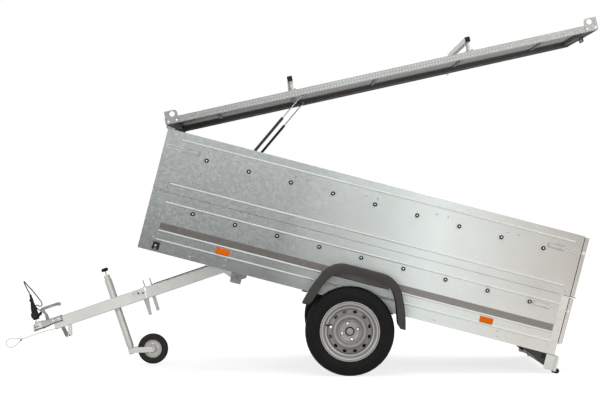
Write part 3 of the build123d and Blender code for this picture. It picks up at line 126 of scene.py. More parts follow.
BOX_SEAT = seat(*box_origin, TIP_ANGLE)
LID_SEAT = seat(*in_row(*LID_HINGE), TIP_ANGLE - LID_OPEN_ANGLE)
pivot_place = in_row(*PIVOT)
DRAWBAR_SEAT = seat(*pivot_place, -DRAWBAR_SLOPE)
GROUND_SEAT = seat(ROW_SHIFT, 0, 0)
strut_reach = turned(*STRUT_UPPER, -LID_OPEN_ANGLE)
strut_dx = LID_HINGE[0] + strut_reach[0] - STRUT_LOWER[0]
strut_dz = LID_HINGE[1] + strut_reach[1] - STRUT_LOWER[1]
STRUT_LENGTH = hypot(strut_dx, strut_dz)
STRUT_SEAT = seat(*in_row(*STRUT_LOWER), TIP_ANGLE - degrees(atan2(strut_dz, strut_dx)))
slope = radians(DRAWBAR_SLOPE)
jockey_axle_x = JOCKEY_X + JOCKEY_TRAIL
jockey_axle_z = (JOCKEY_RADIUS - pivot_place[1] - jockey_axle_x * sin(slope)) / cos(slope)
SWIVEL_Z = jockey_axle_z + 40

# -------------------- camera
CAMERA_PLACE = (-0.0496, -11.82, 1.0798)
CAMERA_LENS, CAMERA_SENSOR = 108, 36
camera = bpy.data.objects.new("camera", bpy.data.cameras.new("camera"))
bpy.context.scene.collection.objects.link(camera)
camera.location = CAMERA_PLACE
camera.rotation_euler = (radians(90), 0, 0)
camera.data.lens = CAMERA_LENS
camera.data.sensor_width = CAMERA_SENSOR
bpy.context.scene.camera = camera
bpy.context.scene.view_settings.view_transform = "Standard"

# -------------------- cords
PLUG_CABLE_ROUTE = (
    (-1958, 24, 292), (-1964, 42, 312), (-2005, 50, 343), (-2036, 52, 360), (-2052, 52, 380),
    (-2037, 50, 389), (-2021, 47, 377), (-2007, 46, 384), (-2006, 46, 402), (-2021, 46, 422),
    (-2069, 46, 483), (-2105, 44, 521), (-2119, 34, 540), (-2121, 18, 545), (-2117, 4, 535),
    (-2107, 0, 514), (-2087, 0, 475), (-2077.2, 0, 459.4))
SAFETY_CABLE_ROUTE = (
    (-1900, -25, 238), (-1900, -34, 238), (-1922, -38, 235), (-1965, -38, 225), (-2043, -38, 199),
    (-2128, -32, 167), (-2160, -30, 175), (-2199, -28, 173), (-2224, -27, 163), (-2233, -25, 142),
    (-2225, -23, 121), (-2202, -21, 109), (-2177, -20, 121), (-2152, -22, 142), (-2137, -27, 158))


def cord_curve(name, route, diameter):
    """A round cord whose control points are the route's, in the row frame."""
    line = bpy.data.curves.new(name, "CURVE")
    line.dimensions = "3D"
    line.bevel_depth = diameter / 2 * MM
    line.bevel_resolution = 6
    line.resolution_u = 10
    line.use_fill_caps = True
    spline = line.splines.new("NURBS")
    spline.points.add(len(route) - 1)
    for point, (x, y, z) in zip(spline.points, route):
        point.co = ((x + ROW_SHIFT) * MM, y * MM, z * MM, 1)
    spline.order_u = 3
    spline.use_endpoint_u = True
    made = bpy.data.objects.new(name, line)
    bpy.context.scene.collection.objects.link(made)
    return made


plug_lead = cord_curve("plug_lead", PLUG_CABLE_ROUTE, 7)
breakaway_rope = cord_curve("breakaway_rope", SAFETY_CABLE_ROUTE, 5)


# -------------------- shader work
def shade(red, green, blue):
    """A colour written as 0 to 255, as the shaders want it."""
    def channel(value):
        value /= 255
        return value / 12.92 if value <= 0.04045 else ((value + 0.055) / 1.055) ** 2.4
    return channel(red), channel(green), channel(blue), 1


def add(tree, kind, inputs=None, **settings):
    """A node in a tree, with its settings and what goes into its sockets."""
    made = tree.nodes.new(kind)
    for key, value in settings.items():
        setattr(made, key, value)
    for key, value in (inputs or {}).items():
        if isinstance(value, bpy.types.NodeSocket):
            tree.links.new(value, made.inputs[key])
        else:
            made.inputs[key].default_value = value
    return made


def new_group(name, inputs, outputs):
    """An empty effect: its tree, the node of its inputs and the node of its outputs."""
    tree = bpy.data.node_groups.new(name, "ShaderNodeTree")
    for socket_name, kind in inputs:
        tree.interface.new_socket(name=socket_name, in_out="INPUT", socket_type=kind)
    for socket_name, kind in outputs:
        tree.interface.new_socket(name=socket_name, in_out="OUTPUT", socket_type=kind)
    return tree, tree.nodes.new("NodeGroupInput"), tree.nodes.new("NodeGroupOutput")


NUMBER, TINT, ARROW = "NodeSocketFloat", "NodeSocketColor", "NodeSocketVector"
MIX_A, MIX_B, MIX_OUT = 6, 7, 2    # the colour sockets of a Mix node
BLEND_A, BLEND_B, BLEND_OUT = 2, 3, 0   # and its number sockets


def object_point(tree):
    """The place of a surface point in its piece's own coordinates."""
    return add(tree, "ShaderNodeTexCoord").outputs["Object"]


def reach(tree, value, low, high, to_low, to_high):
    """A value brought from one range to another."""
    return add(tree, "ShaderNodeMapRange", {"Value": value, "From Min": low, "From Max": high,
                                            "To Min": to_low, "To Max": to_high}).outputs[0]


def blotch(tree, scale, detail=4, point=None):
    """Soft noise from 0 to 1 at a scale in patches a metre."""
    noise = add(tree, "ShaderNodeTexNoise", {"Vector": point or object_point(tree), "Scale": scale,
                                             "Detail": detail})
    return noise.outputs[0]


def make_mottle():
    """Two colours and two roughnesses in soft patches, with a fine grain."""
    tree, entry, out = new_group(
        "mottle", (("Colour", TINT), ("Second Colour", TINT), ("Patches", NUMBER),
                   ("Roughness", NUMBER), ("Second Roughness", NUMBER), ("Grain", NUMBER),
                   ("Grain Depth", NUMBER)),
        (("Colour", TINT), ("Roughness", NUMBER), ("Normal", ARROW)))
    share = reach(tree, blotch(tree, entry.outputs["Patches"]), 0.35, 0.65, 0, 1)
    colour = add(tree, "ShaderNodeMix", {0: share, MIX_A: entry.outputs["Colour"],
                                         MIX_B: entry.outputs["Second Colour"]}, data_type="RGBA")
    rough = add(tree, "ShaderNodeMix", {0: share, BLEND_A: entry.outputs["Roughness"],
                                        BLEND_B: entry.outputs["Second Roughness"]})
    grain = blotch(tree, entry.outputs["Grain"], detail=2)
    bump = add(tree, "ShaderNodeBump", {"Strength": entry.outputs["Grain Depth"],
                                        "Distance": 0.0008, "Height": grain})
    tree.links.new(colour.outputs[MIX_OUT], out.inputs["Colour"])
    tree.links.new(rough.outputs[BLEND_OUT], out.inputs["Roughness"])
    tree.links.new(bump.outputs[0], out.inputs["Normal"])
    return tree


def make_spangle():
    """The crystals of a zinc coat, each with its own brightness and gloss, faintly clouded."""
    tree, entry, out = new_group(
        "spangle", (("Colour", TINT), ("Crystals", NUMBER), ("Contrast", NUMBER),
                    ("Roughness", NUMBER)),
        (("Colour", TINT), ("Roughness", NUMBER), ("Normal", ARROW)))
    point = object_point(tree)
    warp = add(tree, "ShaderNodeTexNoise", {"Vector": point, "Scale": 160.0, "Detail": 1.0})
    bent = add(tree, "ShaderNodeVectorMath", {0: warp.outputs["Color"], 1: (0.004, 0.004, 0.004)},
               operation="MULTIPLY")
    moved = add(tree, "ShaderNodeVectorMath", {0: point, 1: bent.outputs[0]}, operation="ADD")
    crystals = add(tree, "ShaderNodeTexVoronoi", {"Vector": moved.outputs[0],
                                                  "Scale": entry.outputs["Crystals"]})
    bright = add(tree, "ShaderNodeSeparateColor", {0: crystals.outputs["Color"]})
    swing = add(tree, "ShaderNodeMath", {0: bright.outputs[0], 1: 0.5}, operation="SUBTRACT")
    cloud = reach(tree, blotch(tree, 2.3, detail=5), 0.3, 0.7, -0.05, 0.05)
    spread = add(tree, "ShaderNodeMath", {0: swing.outputs[0], 1: entry.outputs["Contrast"]},
                 operation="MULTIPLY")
    level = add(tree, "ShaderNodeMath", {0: spread.outputs[0], 1: 1.0}, operation="ADD")
    level = add(tree, "ShaderNodeMath", {0: level.outputs[0], 1: cloud}, operation="ADD")
    colour = add(tree, "ShaderNodeVectorMath",
                 {0: entry.outputs["Colour"], "Scale": level.outputs[0]}, operation="SCALE")
    gloss = add(tree, "ShaderNodeMath", {0: swing.outputs[0], 1: 0.16}, operation="MULTIPLY")
    rough = add(tree, "ShaderNodeMath", {0: gloss.outputs[0], 1: entry.outputs["Roughness"]},
                operation="ADD")
    bump = add(tree, "ShaderNodeBump", {"Strength": 0.12, "Distance": 0.0006,
                                        "Height": blotch(tree, 420.0, detail=2)})
    tree.links.new(colour.outputs[0], out.inputs["Colour"])
    tree.links.new(rough.outputs[0], out.inputs["Roughness"])
    tree.links.new(bump.outputs[0], out.inputs["Normal"])
    return tree


def make_dust():
    """A pale film of dust that gathers on what faces up."""
    tree, entry, out = new_group("settled_dust", (("Colour", TINT), ("Dust Colour", TINT),
                                                  ("Amount", NUMBER)), (("Colour", TINT),))
    facing = add(tree, "ShaderNodeSeparateXYZ",
                 {0: add(tree, "ShaderNodeNewGeometry").outputs["Normal"]})
    lie = reach(tree, facing.outputs[2], -0.2, 1, 0.15, 1)
    patchy = reach(tree, blotch(tree, 14.0), 0.3, 0.7, 0.2, 1)
    film = add(tree, "ShaderNodeMath", {0: lie, 1: patchy}, operation="MULTIPLY")
    film = add(tree, "ShaderNodeMath", {0: film.outputs[0], 1: entry.outputs["Amount"]},
               operation="MULTIPLY", use_clamp=True)
    colour = add(tree, "ShaderNodeMix", {0: film.outputs[0], MIX_A: entry.outputs["Colour"],
                                         MIX_B: entry.outputs["Dust Colour"]}, data_type="RGBA")
    tree.links.new(colour.outputs[MIX_OUT], out.inputs["Colour"])
    return tree


def make_painted_light_run():
    """Painted light along a piece and up it: painted shade towards its front end and low down, full
    tone from the middle on, then the far end's share with a warm tint as painted light.
    """
    tree, entry, out = new_group(
        "painted_light_run", (("Colour", TINT), ("Shaded End", NUMBER), ("Lit From", NUMBER),
                     ("Far End", NUMBER), ("Bottom", NUMBER), ("Top", NUMBER),
                     ("Shaded Low", NUMBER), ("Shaded High", NUMBER), ("Far Low", NUMBER),
                     ("Far High", NUMBER), ("Far Tint", TINT)),
        (("Colour", TINT),))
    place = add(tree, "ShaderNodeSeparateXYZ", {0: object_point(tree)}).outputs
    ends = []
    for low, high in (("Shaded Low", "Shaded High"), ("Far Low", "Far High")):
        ends.append(reach(tree, place[2], entry.outputs["Bottom"], entry.outputs["Top"],
                          entry.outputs[low], entry.outputs[high]))
    shaded_end, lit_from, far_end = (entry.outputs[key]
                                     for key in ("Shaded End", "Lit From", "Far End"))
    rise = reach(tree, place[0], shaded_end, lit_from, ends[0], 1.0)
    fall = reach(tree, place[0], lit_from, far_end, 1.0, ends[1])
    level = add(tree, "ShaderNodeMath", {0: rise, 1: fall}, operation="MULTIPLY")
    colour = add(tree, "ShaderNodeVectorMath",
                 {0: entry.outputs["Colour"], "Scale": level.outputs[0]}, operation="SCALE")
    past_lit_from = reach(tree, place[0], lit_from, far_end, 0.0, 1.0)
    warmth = add(tree, "ShaderNodeMix", {0: past_lit_from, MIX_A: (1, 1, 1, 1),
                                         MIX_B: entry.outputs["Far Tint"]}, data_type="RGBA")
    tinted = add(tree, "ShaderNodeVectorMath",
                 {0: colour.outputs[0], 1: warmth.outputs[MIX_OUT]}, operation="MULTIPLY")
    tree.links.new(tinted.outputs[0], out.inputs["Colour"])
    return tree


MOTTLE, SPANGLE, DUST, PAINTED_LIGHT_RUN = make_mottle(), make_spangle(), make_dust(), make_painted_light_run()


def new_finish(name):
    """A material and its plain shader."""
    made = bpy.data.materials.new(name)
    made.use_nodes = True
    return made, made.node_tree, made.node_tree.nodes["Principled BSDF"]


def zinc(name, colour, crystals, contrast, roughness, metallic, run=None, far_tint=(1, 1, 1, 1)):
    """Galvanised steel; run gives where painted shade darkens it along the piece and up it, and by
    how much, and far_tint tints the painted light at its far end.
    """
    made, tree, shader = new_finish(name)
    coat = add(tree, "ShaderNodeGroup", {"Colour": shade(*colour), "Crystals": crystals,
                                         "Contrast": contrast, "Roughness": roughness},
               node_tree=SPANGLE)
    source = coat.outputs["Colour"]
    if run:
        toned = add(tree, "ShaderNodeGroup", node_tree=PAINTED_LIGHT_RUN)
        tree.links.new(source, toned.inputs["Colour"])
        for socket, value in zip(list(toned.inputs)[1:], (*run, far_tint)):
            socket.default_value = value
        source = toned.outputs["Colour"]
    tree.links.new(source, shader.inputs["Base Color"])
    for key in ("Roughness", "Normal"):
        tree.links.new(coat.outputs[key], shader.inputs[key])
    shader.inputs["Metallic"].default_value = metallic
    return made


def mottled(name, colour, second, patches, roughness, second_roughness, grain, depth,
            metallic=0.0, dust=0.0, coat=0.0, specular=0.5, dust_colour=(150, 146, 140)):
    """A finish of two soft tones with a fine grain and some dust."""
    made, tree, shader = new_finish(name)
    surface = add(tree, "ShaderNodeGroup",
                  {"Colour": shade(*colour), "Second Colour": shade(*second), "Patches": patches,
                   "Roughness": roughness, "Second Roughness": second_roughness, "Grain": grain,
                   "Grain Depth": depth}, node_tree=MOTTLE)
    source = surface.outputs["Colour"]
    if dust:
        film = add(tree, "ShaderNodeGroup", {"Colour": source, "Dust Colour": shade(*dust_colour),
                                             "Amount": dust}, node_tree=DUST)
        source = film.outputs["Colour"]
    tree.links.new(source, shader.inputs["Base Color"])
    for key in ("Roughness", "Normal"):
        tree.links.new(surface.outputs[key], shader.inputs[key])
    shader.inputs["Metallic"].default_value = metallic
    shader.inputs["Coat Weight"].default_value = coat
    shader.inputs["Specular IOR Level"].default_value = specular
    return made


# painted light runs: metres along the box and up it, then shares of the full tone at the shaded and
# the far end; they paint shade towards the front and low down
BOX_LIGHT_RUN = (0.85, 1.80, 2.70, -0.763, 0.0, 0.24, 0.52, 1.08, 0.63)
HIGHLIGHT_RUN = (0.2, 1.4, 2.70, -0.763, 0.0, 0.78, 0.86, 1.0, 0.92)
STRIPE_SHADE_RUN = (0.75, 1.80, 2.70, -0.763, 0.0, 0.40, 0.40, 1.0, 1.0)
LID_SHADE_RUN = (0.1, 1.2, 2.70, 0.0, 0.06, 0.60, 0.60, 0.82, 0.82)
# the warm tint of the painted light at the panels' far end
WARM = (1.0, 0.885, 0.845, 1)
# side panel zinc with painted shade towards the front and bottom and painted light towards the rear
panel_zinc = zinc("panel_zinc", (193, 199, 197), 95.0, 0.06, 0.42, 0.45, BOX_LIGHT_RUN, WARM)
# a lighter copy of the panel zinc: painted highlight on the rib crests and on the latches' wire
# bails
painted_highlight_zinc = zinc("painted_highlight_zinc", (236, 240, 237), 95.0, 0.04, 0.42, 0.20, HIGHLIGHT_RUN)
inner_zinc = zinc("inner_zinc", (158, 160, 158), 80.0, 0.14, 0.46, 0.45)
frame_zinc = zinc("frame_zinc", (204, 204, 200), 110.0, 0.08, 0.46, 0.30)
# a darker copy of the frame zinc for the parts under the box: painted shade
underside_shade_zinc = zinc("underside_shade_zinc", (150, 150, 148), 90.0, 0.14, 0.50, 0.35)
# lid zinc with painted shade towards the lid's front
lid_plate = zinc("lid_plate", (152, 155, 153), 180.0, 0.06, 0.36, 0.40, LID_SHADE_RUN)
# a lighter copy of the lid zinc: painted highlight on the rim's raised tread bars
tread_highlight = zinc("tread_highlight", (226, 228, 224), 180.0, 0.04, 0.36, 0.20, LID_SHADE_RUN)
# darker copies of the lid zinc: painted shade on the lid's inner faces, its frame and its lock
# plate
shaded_lid_inner = zinc("shaded_lid_inner", (122, 121, 119), 90.0, 0.06, 0.50, 0.30)
shaded_lid_underside = zinc("shaded_lid_underside", (86, 84, 82), 90.0, 0.08, 0.60, 0.10)
bright_zinc = mottled("bright_zinc", (214, 210, 205), (190, 187, 184), 60.0, 0.28, 0.42, 900.0, 0.2,
                      metallic=0.6)
dull_zinc = mottled("dull_zinc", (138, 137, 136), (116, 115, 115), 40.0, 0.42, 0.52, 700.0, 0.3,
                    metallic=0.45)
black_plastic = mottled("black_plastic", (15, 15, 16), (21, 21, 22), 25.0, 0.50, 0.60, 900.0, 0.4,
                        dust=0.03, specular=0.2)
fender_plastic = mottled("fender_plastic", (58, 57, 55), (64, 63, 61), 9.0, 0.60, 0.68, 600.0, 0.5,
                         dust=0.08, specular=0.2)
tyre_rubber = mottled("tyre_rubber", (17, 16, 17), (23, 22, 23), 30.0, 0.66, 0.78, 500.0, 0.6,
                      dust=0.05, specular=0.12)
jockey_rubber = mottled("jockey_rubber", (45, 44, 44), (51, 50, 50), 30.0, 0.66, 0.78, 500.0, 0.6,
                        dust=0.05, specular=0.12)
cast_zinc = mottled("cast_zinc", (174, 178, 176), (160, 163, 161), 60.0, 0.42, 0.52, 700.0, 0.3,
                    metallic=0.35)
grip_rubber = mottled("grip_rubber", (16, 16, 17), (23, 23, 24), 60.0, 0.65, 0.8, 800.0, 0.8,
                      specular=0.15)
wheel_paint = mottled("wheel_paint", (147, 145, 142), (138, 136, 133), 12.0, 0.38, 0.46, 700.0, 0.2,
                      metallic=0.25, dust=0.06, coat=0.1)
wheel_shade = mottled("wheel_shade", (122, 121, 119), (115, 114, 112), 12.0, 0.46, 0.54, 700.0, 0.2,
                      metallic=0.2)
# a lighter copy of the wheel paint: painted highlight on the rim's rings
lip_highlight_paint = mottled("lip_highlight_paint", (172, 171, 169), (164, 163, 161), 12.0, 0.36, 0.44, 700.0, 0.2,
                    metallic=0.3)
hub_plastic = mottled("hub_plastic", (208, 207, 203), (200, 199, 195), 20.0, 0.40, 0.50, 600.0, 0.2,
                      specular=0.3)
cap_plastic = mottled("cap_plastic", (204, 203, 199), (194, 193, 189), 30.0, 0.35, 0.45, 600.0, 0.3,
                      specular=0.4)
strut_black = mottled("strut_black", (17, 17, 18), (22, 22, 23), 30.0, 0.32, 0.40, 500.0, 0.1,
                      coat=0.2, specular=0.3)
rod_chrome = mottled("rod_chrome", (190, 190, 192), (170, 170, 173), 40.0, 0.12, 0.2, 500.0, 0.1,
                     metallic=0.95)
# the stripe's own grey, with painted shade towards its front end
stripe_film = zinc("stripe_film", (133, 127, 123), 95.0, 0.02, 0.46, 0.0, STRIPE_SHADE_RUN)
skirt_grey = mottled("skirt_grey", (122, 117, 113), (112, 108, 105), 12.0, 0.50, 0.58, 600.0, 0.3,
                     metallic=0.2)
lens_orange = mottled("lens_orange", (236, 112, 0), (228, 102, 0), 70.0, 0.40, 0.48, 160.0, 0.2,
                      specular=0.04)
lens_red = mottled("lens_red", (172, 18, 14), (150, 12, 10), 70.0, 0.16, 0.24, 160.0, 0.5, coat=0.4)
lens_clear = mottled("lens_clear", (224, 224, 220), (206, 206, 204), 70.0, 0.10, 0.2, 160.0, 0.5,
                     coat=0.6)
blank_plate = mottled("blank_plate", (226, 226, 222), (214, 214, 210), 8.0, 0.38, 0.5, 400.0, 0.1)
rope_steel = mottled("rope_steel", (196, 196, 192), (150, 150, 148), 300.0, 0.3, 0.45, 900.0, 0.6,
                     metallic=0.6)
lead_sheath = mottled("lead_sheath", (15, 15, 16), (22, 22, 23), 60.0, 0.46, 0.56, 700.0, 0.3,
                      specular=0.2)


def make_floor_board():
    """Film-faced plywood with a pressed mesh against slipping."""
    made, tree, shader = new_finish("floor_board")
    point = object_point(tree)
    ridges = []
    for direction in ("X", "Y"):
        wave = add(tree, "ShaderNodeTexWave", {"Vector": point, "Scale": 34.0, "Distortion": 0.0},
                   bands_direction=direction)
        ridges.append(reach(tree, wave.outputs[1], 0.86, 1, 0, 1))
    mesh_height = add(tree, "ShaderNodeMath", {0: ridges[0], 1: ridges[1]}, operation="MAXIMUM")
    tone = reach(tree, blotch(tree, 6.0), 0.3, 0.7, 0, 1)
    colour = add(tree, "ShaderNodeMix", {0: tone, MIX_A: shade(72, 50, 36),
                                         MIX_B: shade(88, 62, 46)}, data_type="RGBA")
    bump = add(tree, "ShaderNodeBump", {"Strength": 0.5, "Distance": 0.0006,
                                        "Height": mesh_height.outputs[0]})
    rough = reach(tree, mesh_height.outputs[0], 0, 1, 0.38, 0.6)
    tree.links.new(colour.outputs[MIX_OUT], shader.inputs["Base Color"])
    tree.links.new(rough, shader.inputs["Roughness"])
    tree.links.new(bump.outputs[0], shader.inputs["Normal"])
    return made


floor_film = make_floor_board()

# -------------------- forms
UP, FORWARD, REARWARD = (0, 0, 1), (-1, 0, 0), (1, 0, 0)
DOME_STEPS = 16
BEVEL_STEPS = 2


class Form:
    """Gathers the faces of one piece in its working frame, in millimetres."""

    def __init__(self):
        self.mesh = bmesh.new()
        self.paint = 0

    def face(self, corners):
        """A face in the current finish, left out where it would repeat one."""
        try:
            made = self.mesh.faces.new(corners)
        except ValueError:
            return
        made.material_index = self.paint

    def points(self, places):
        """New corners, for the faces that follow."""
        return [self.mesh.verts.new(place) for place in places]

    def block(self, x, y, z):
        """A block between pairs of limits."""
        corners = self.points([(a, b, c) for c in z for b in y for a in x])
        for ring in ((0, 2, 3, 1), (4, 5, 7, 6), (0, 1, 5, 4), (2, 6, 7, 3), (0, 4, 6, 2),
                     (1, 3, 7, 5)):
            self.face([corners[i] for i in ring])

    def skin(self, rings, closed=False, open_rings=False):
        """Faces between neighbouring rings of points; open rings aren't joined end to end."""
        pairs = list(zip(rings, rings[1:])) + ([(rings[-1], rings[0])] if closed else [])
        for low, high in pairs:
            for i in range(len(low) - open_rings):
                j = (i + 1) % len(low)
                self.face((low[i], low[j], high[j], high[i]))

    def prism(self, outline, near, far, place, holes=()):
        """A plate with a flat outline between two depths; place turns both into a point."""
        rims = []
        for depth in (near, far):
            loops, edges = [], []
            for run in (outline, *holes):
                loop = self.points([place(a, b, depth) for a, b in run])
                loops.append(loop)
                edges += [self.mesh.edges.new(pair) for pair in zip(loop, loop[1:] + loop[:1])]
            filled = bmesh.ops.triangle_fill(self.mesh, use_beauty=True, use_dissolve=True,
                                             edges=edges)
            for part in filled["geom"]:
                if isinstance(part, bmesh.types.BMFace):
                    part.material_index = self.paint
            rims.append(loops)
        for pair in zip(*rims):
            self.skin(pair)

    def plate_xz(self, outline, y, holes=()):
        """A plate whose outline is seen from the side."""
        self.prism(outline, y[0], y[1], lambda a, b, depth: (a, depth, b), holes)

    def plate_yz(self, outline, x, holes=()):
        """A plate whose outline is seen from the front."""
        self.prism(outline, x[0], x[1], lambda a, b, depth: (depth, a, b), holes)

    def plate_xy(self, outline, z, holes=()):
        """A plate whose outline is seen from above."""
        self.prism(outline, z[0], z[1], lambda a, b, depth: (a, b, depth), holes)

    def lathe(self, profile, centre, axis, steps=32, closed=False, start=0.0):
        """A turned form: radius and distance along the axis for each station."""
        axis = Vector(axis).normalized()
        side = axis.orthogonal().normalized()
        other = axis.cross(side)
        centre = Vector(centre)
        rings = []
        for radius, along in profile:
            middle = centre + axis * along
            if radius < 1e-6:
                rings.append([self.mesh.verts.new(middle)])
                continue
            turns = [start + 2 * pi * i / steps for i in range(steps)]
            rings.append(self.points([middle + (side * cos(t) + other * sin(t)) * radius
                                      for t in turns]))
        pairs = list(zip(rings, rings[1:]))
        if closed:
            pairs.append((rings[-1], rings[0]))
        for low, high in pairs:
            for i in range(steps):
                j = (i + 1) % steps
                if len(low) == 1 and len(high) == 1:
                    continue
                if len(low) == 1:
                    self.face((low[0], high[j], high[i]))
                elif len(high) == 1:
                    self.face((low[i], low[j], high[0]))
                else:
                    self.face((low[i], low[j], high[j], high[i]))

    def rod(self, start, end, radius, steps=24, edge=0.0):
        """A round bar between two points, its ends eased by an edge."""
        start, end = Vector(start), Vector(end)
        length = (end - start).length
        profile = [(0, 0), (radius - edge, 0), (radius, edge), (radius, length - edge),
                   (radius - edge, length), (0, length)]
        if not edge:
            profile = [(0, 0), (radius, 0), (radius, length), (0, length)]
        self.lathe(profile, start, end - start, steps)

    def bent_rod(self, path, radius, steps=12, loop=False):
        """A round bar that follows points."""
        stations = [Vector(p) for p in path]
        count = len(stations)
        rings, side = [], None
        for i, station in enumerate(stations):
            before = stations[(i - 1) % count] if loop or i else station
            after = stations[(i + 1) % count] if loop or i < count - 1 else station
            along = (after - before).normalized()
            if side is None:
                side = along.orthogonal().normalized()
            side = (side - along * side.dot(along)).normalized()
            other = along.cross(side)
            turns = [2 * pi * k / steps for k in range(steps)]
            rings.append(self.points([station + (side * cos(t) + other * sin(t)) * radius
                                      for t in turns]))
        self.skin(rings, closed=loop)
        if not loop:
            self.face(list(reversed(rings[0])))
            self.face(rings[-1])

    def strap(self, path, thickness, low, high, plane="xz"):
        """A strip of sheet bent along a path of two coordinates, between two depths."""
        runs = [Vector(p) for p in path]
        left, right = [], []
        for i, point in enumerate(runs):
            before = (point - runs[i - 1]).normalized() if i else None
            after = (runs[i + 1] - point).normalized() if i < len(runs) - 1 else None
            before, after = before or after, after or before
            normal = Vector((-(before + after).y, (before + after).x)).normalized()
            spread = thickness / 2 / max(normal.dot(Vector((-after.y, after.x))), 0.3)
            left.append(point + normal * spread)
            right.append(point - normal * spread)
        outline = [tuple(p) for p in left] + [tuple(p) for p in reversed(right)]
        plate = {"xz": self.plate_xz, "yz": self.plate_yz, "xy": self.plate_xy}[plane]
        plate(outline, (low, high))

    def hex_bolt(self, place, direction, across=13, head=5, washer=9):
        """A washer and a hexagon head, standing on a face."""
        self.lathe([(0, 0), (washer, 0), (washer, 1.2), (washer - 0.5, 1.6), (0, 1.6)], place,
                   direction, 24)
        corner = across / sqrt(3)
        self.lathe([(0, 1.6), (corner, 1.6), (corner, head + 1.0), (corner - 0.9, head + 1.6),
                    (0, head + 1.6)], place, direction, 6)

    def dome(self, place, direction, radius, height):
        """A rivet's low head."""
        profile = [(0, 0), (radius, 0)]
        profile += [(radius * cos(radians(a)), height * sin(radians(a))) for a in (20, 45, 70)]
        self.lathe(profile + [(0, height)], place, direction, DOME_STEPS)

    def disc(self, radius, height, place, direction, steps=24, base=0.0):
        """A plain turned disc that stands on a face, or a base's height above it."""
        self.lathe([(0, base), (radius, base), (radius, base + height), (0, base + height)], place,
                   direction, steps)


def rounded(outline, radius, steps=4):
    """An outline with its corners rounded; radius is one number, or one for each corner."""
    radii = radius if isinstance(radius, (list, tuple)) else [radius] * len(outline)
    made = []
    for i, corner in enumerate(outline):
        corner = Vector(corner)
        before = Vector(outline[i - 1])
        after = Vector(outline[(i + 1) % len(outline)])
        to_before, to_after = (before - corner), (after - corner)
        half = to_before.angle(to_after) / 2
        size = min(radii[i] / max(sin(half) / max(cos(half), 1e-6), 1e-6),
                   0.49 * to_before.length, 0.49 * to_after.length)
        if size < 1e-6:
            made.append(tuple(corner))
            continue
        first = corner + to_before.normalized() * size
        last = corner + to_after.normalized() * size
        for k in range(steps + 1):
            t = k / steps
            point = first * (1 - t) ** 2 + corner * 2 * t * (1 - t) + last * t * t
            made.append(tuple(point))
    return made


def circle(x, z, radius, steps=24):
    """The points of a round hole or form."""
    return [(x + radius * cos(2 * pi * i / steps), z + radius * sin(2 * pi * i / steps))
            for i in range(steps)]


def box_outline(a, b):
    """The four corners between two pairs of limits."""
    return [(a[0], b[0]), (a[1], b[0]), (a[1], b[1]), (a[0], b[1])]


def span(side, near, far):
    """Two distances from the middle plane, as limits on one side of it."""
    return tuple(sorted((side * near, side * far)))


def smooth_run(points, steps=6, loop=False):
    """A soft curve through points of any number of coordinates."""
    count = len(points)
    made = []
    for i in range(count if loop else count - 1):
        p0 = Vector(points[(i - 1) % count] if loop or i else points[0])
        p1, p2 = Vector(points[i]), Vector(points[(i + 1) % count])
        p3 = Vector(points[(i + 2) % count] if loop or i + 2 < count else points[-1])
        for k in range(steps):
            t = k / steps
            made.append(0.5 * (2 * p1 + (p2 - p0) * t + (2 * p0 - 5 * p1 + 4 * p2 - p3) * t * t
                               + (3 * p1 - p0 - 3 * p2 + p3) * t ** 3))
    if not loop:
        made.append(Vector(points[-1]))
    return [tuple(p) for p in made]


def ease_edges(made, edge, angle):
    """Rounds the edges of a piece or solid that turn by more than an angle."""
    bevel = made.modifiers.new("eased_edges", "BEVEL")
    bevel.width = edge * MM
    bevel.segments = BEVEL_STEPS
    bevel.limit_method = "ANGLE"
    bevel.angle_limit = radians(angle)
    bevel.harden_normals = True
    bevel.use_clamp_overlap = True


def piece(form, name, place, body, finishes, stands_for=(), edge=0.0, crease=38):
    """Turns a form into a finished piece on its body."""
    bmesh.ops.recalc_face_normals(form.mesh, faces=form.mesh.faces)
    mesh = bpy.data.meshes.new(name)
    form.mesh.to_mesh(mesh)
    form.mesh.free()
    mesh.transform(Matrix.Scale(MM, 4))
    mesh.polygons.foreach_set("use_smooth", [True] * len(mesh.polygons))
    mesh.set_sharp_from_angle(angle=radians(crease))
    for finish in finishes if isinstance(finishes, (list, tuple)) else (finishes,):
        mesh.materials.append(finish)
    made = bpy.data.objects.new(name, mesh)
    bpy.context.scene.collection.objects.link(made)
    made.matrix_world = place
    if edge:
        ease_edges(made, edge, 40)
    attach(made, body)
    if stands_for:
        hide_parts(*stands_for)
    return made


def cut_away(made, cutters, name, crease=38):
    """Takes solid forms out of a piece and keeps what is left as its mesh."""
    tool = piece(cutters, name, made.matrix_world.copy(), "box", ())
    cut = made.modifiers.new("openings", "BOOLEAN")
    cut.operation = "DIFFERENCE"
    cut.solver = "EXACT"
    cut.object = tool
    bpy.context.view_layer.update()
    evaluated = made.evaluated_get(bpy.context.evaluated_depsgraph_get())
    holed = bpy.data.meshes.new_from_object(evaluated)
    made.modifiers.clear()
    made.data = holed
    holed.polygons.foreach_set("use_smooth", [True] * len(holed.polygons))
    holed.set_sharp_from_angle(angle=radians(crease))
    bpy.data.objects.remove(tool)


def dress(node, finish, edge=0.0):
    """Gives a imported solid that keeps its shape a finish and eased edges."""
    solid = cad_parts[node]
    solid.data.materials.clear()
    solid.data.materials.append(finish)
    if edge:
        weld = solid.modifiers.new("joined_corners", "WELD")
        weld.merge_threshold = 0.02 * MM
        ease_edges(solid, edge, 50)


# -------------------- folded boards of the box
LONGEST_PANEL_FACE = 260
RIB_STEPS = 4                      # facets from a rib's foot to its crest


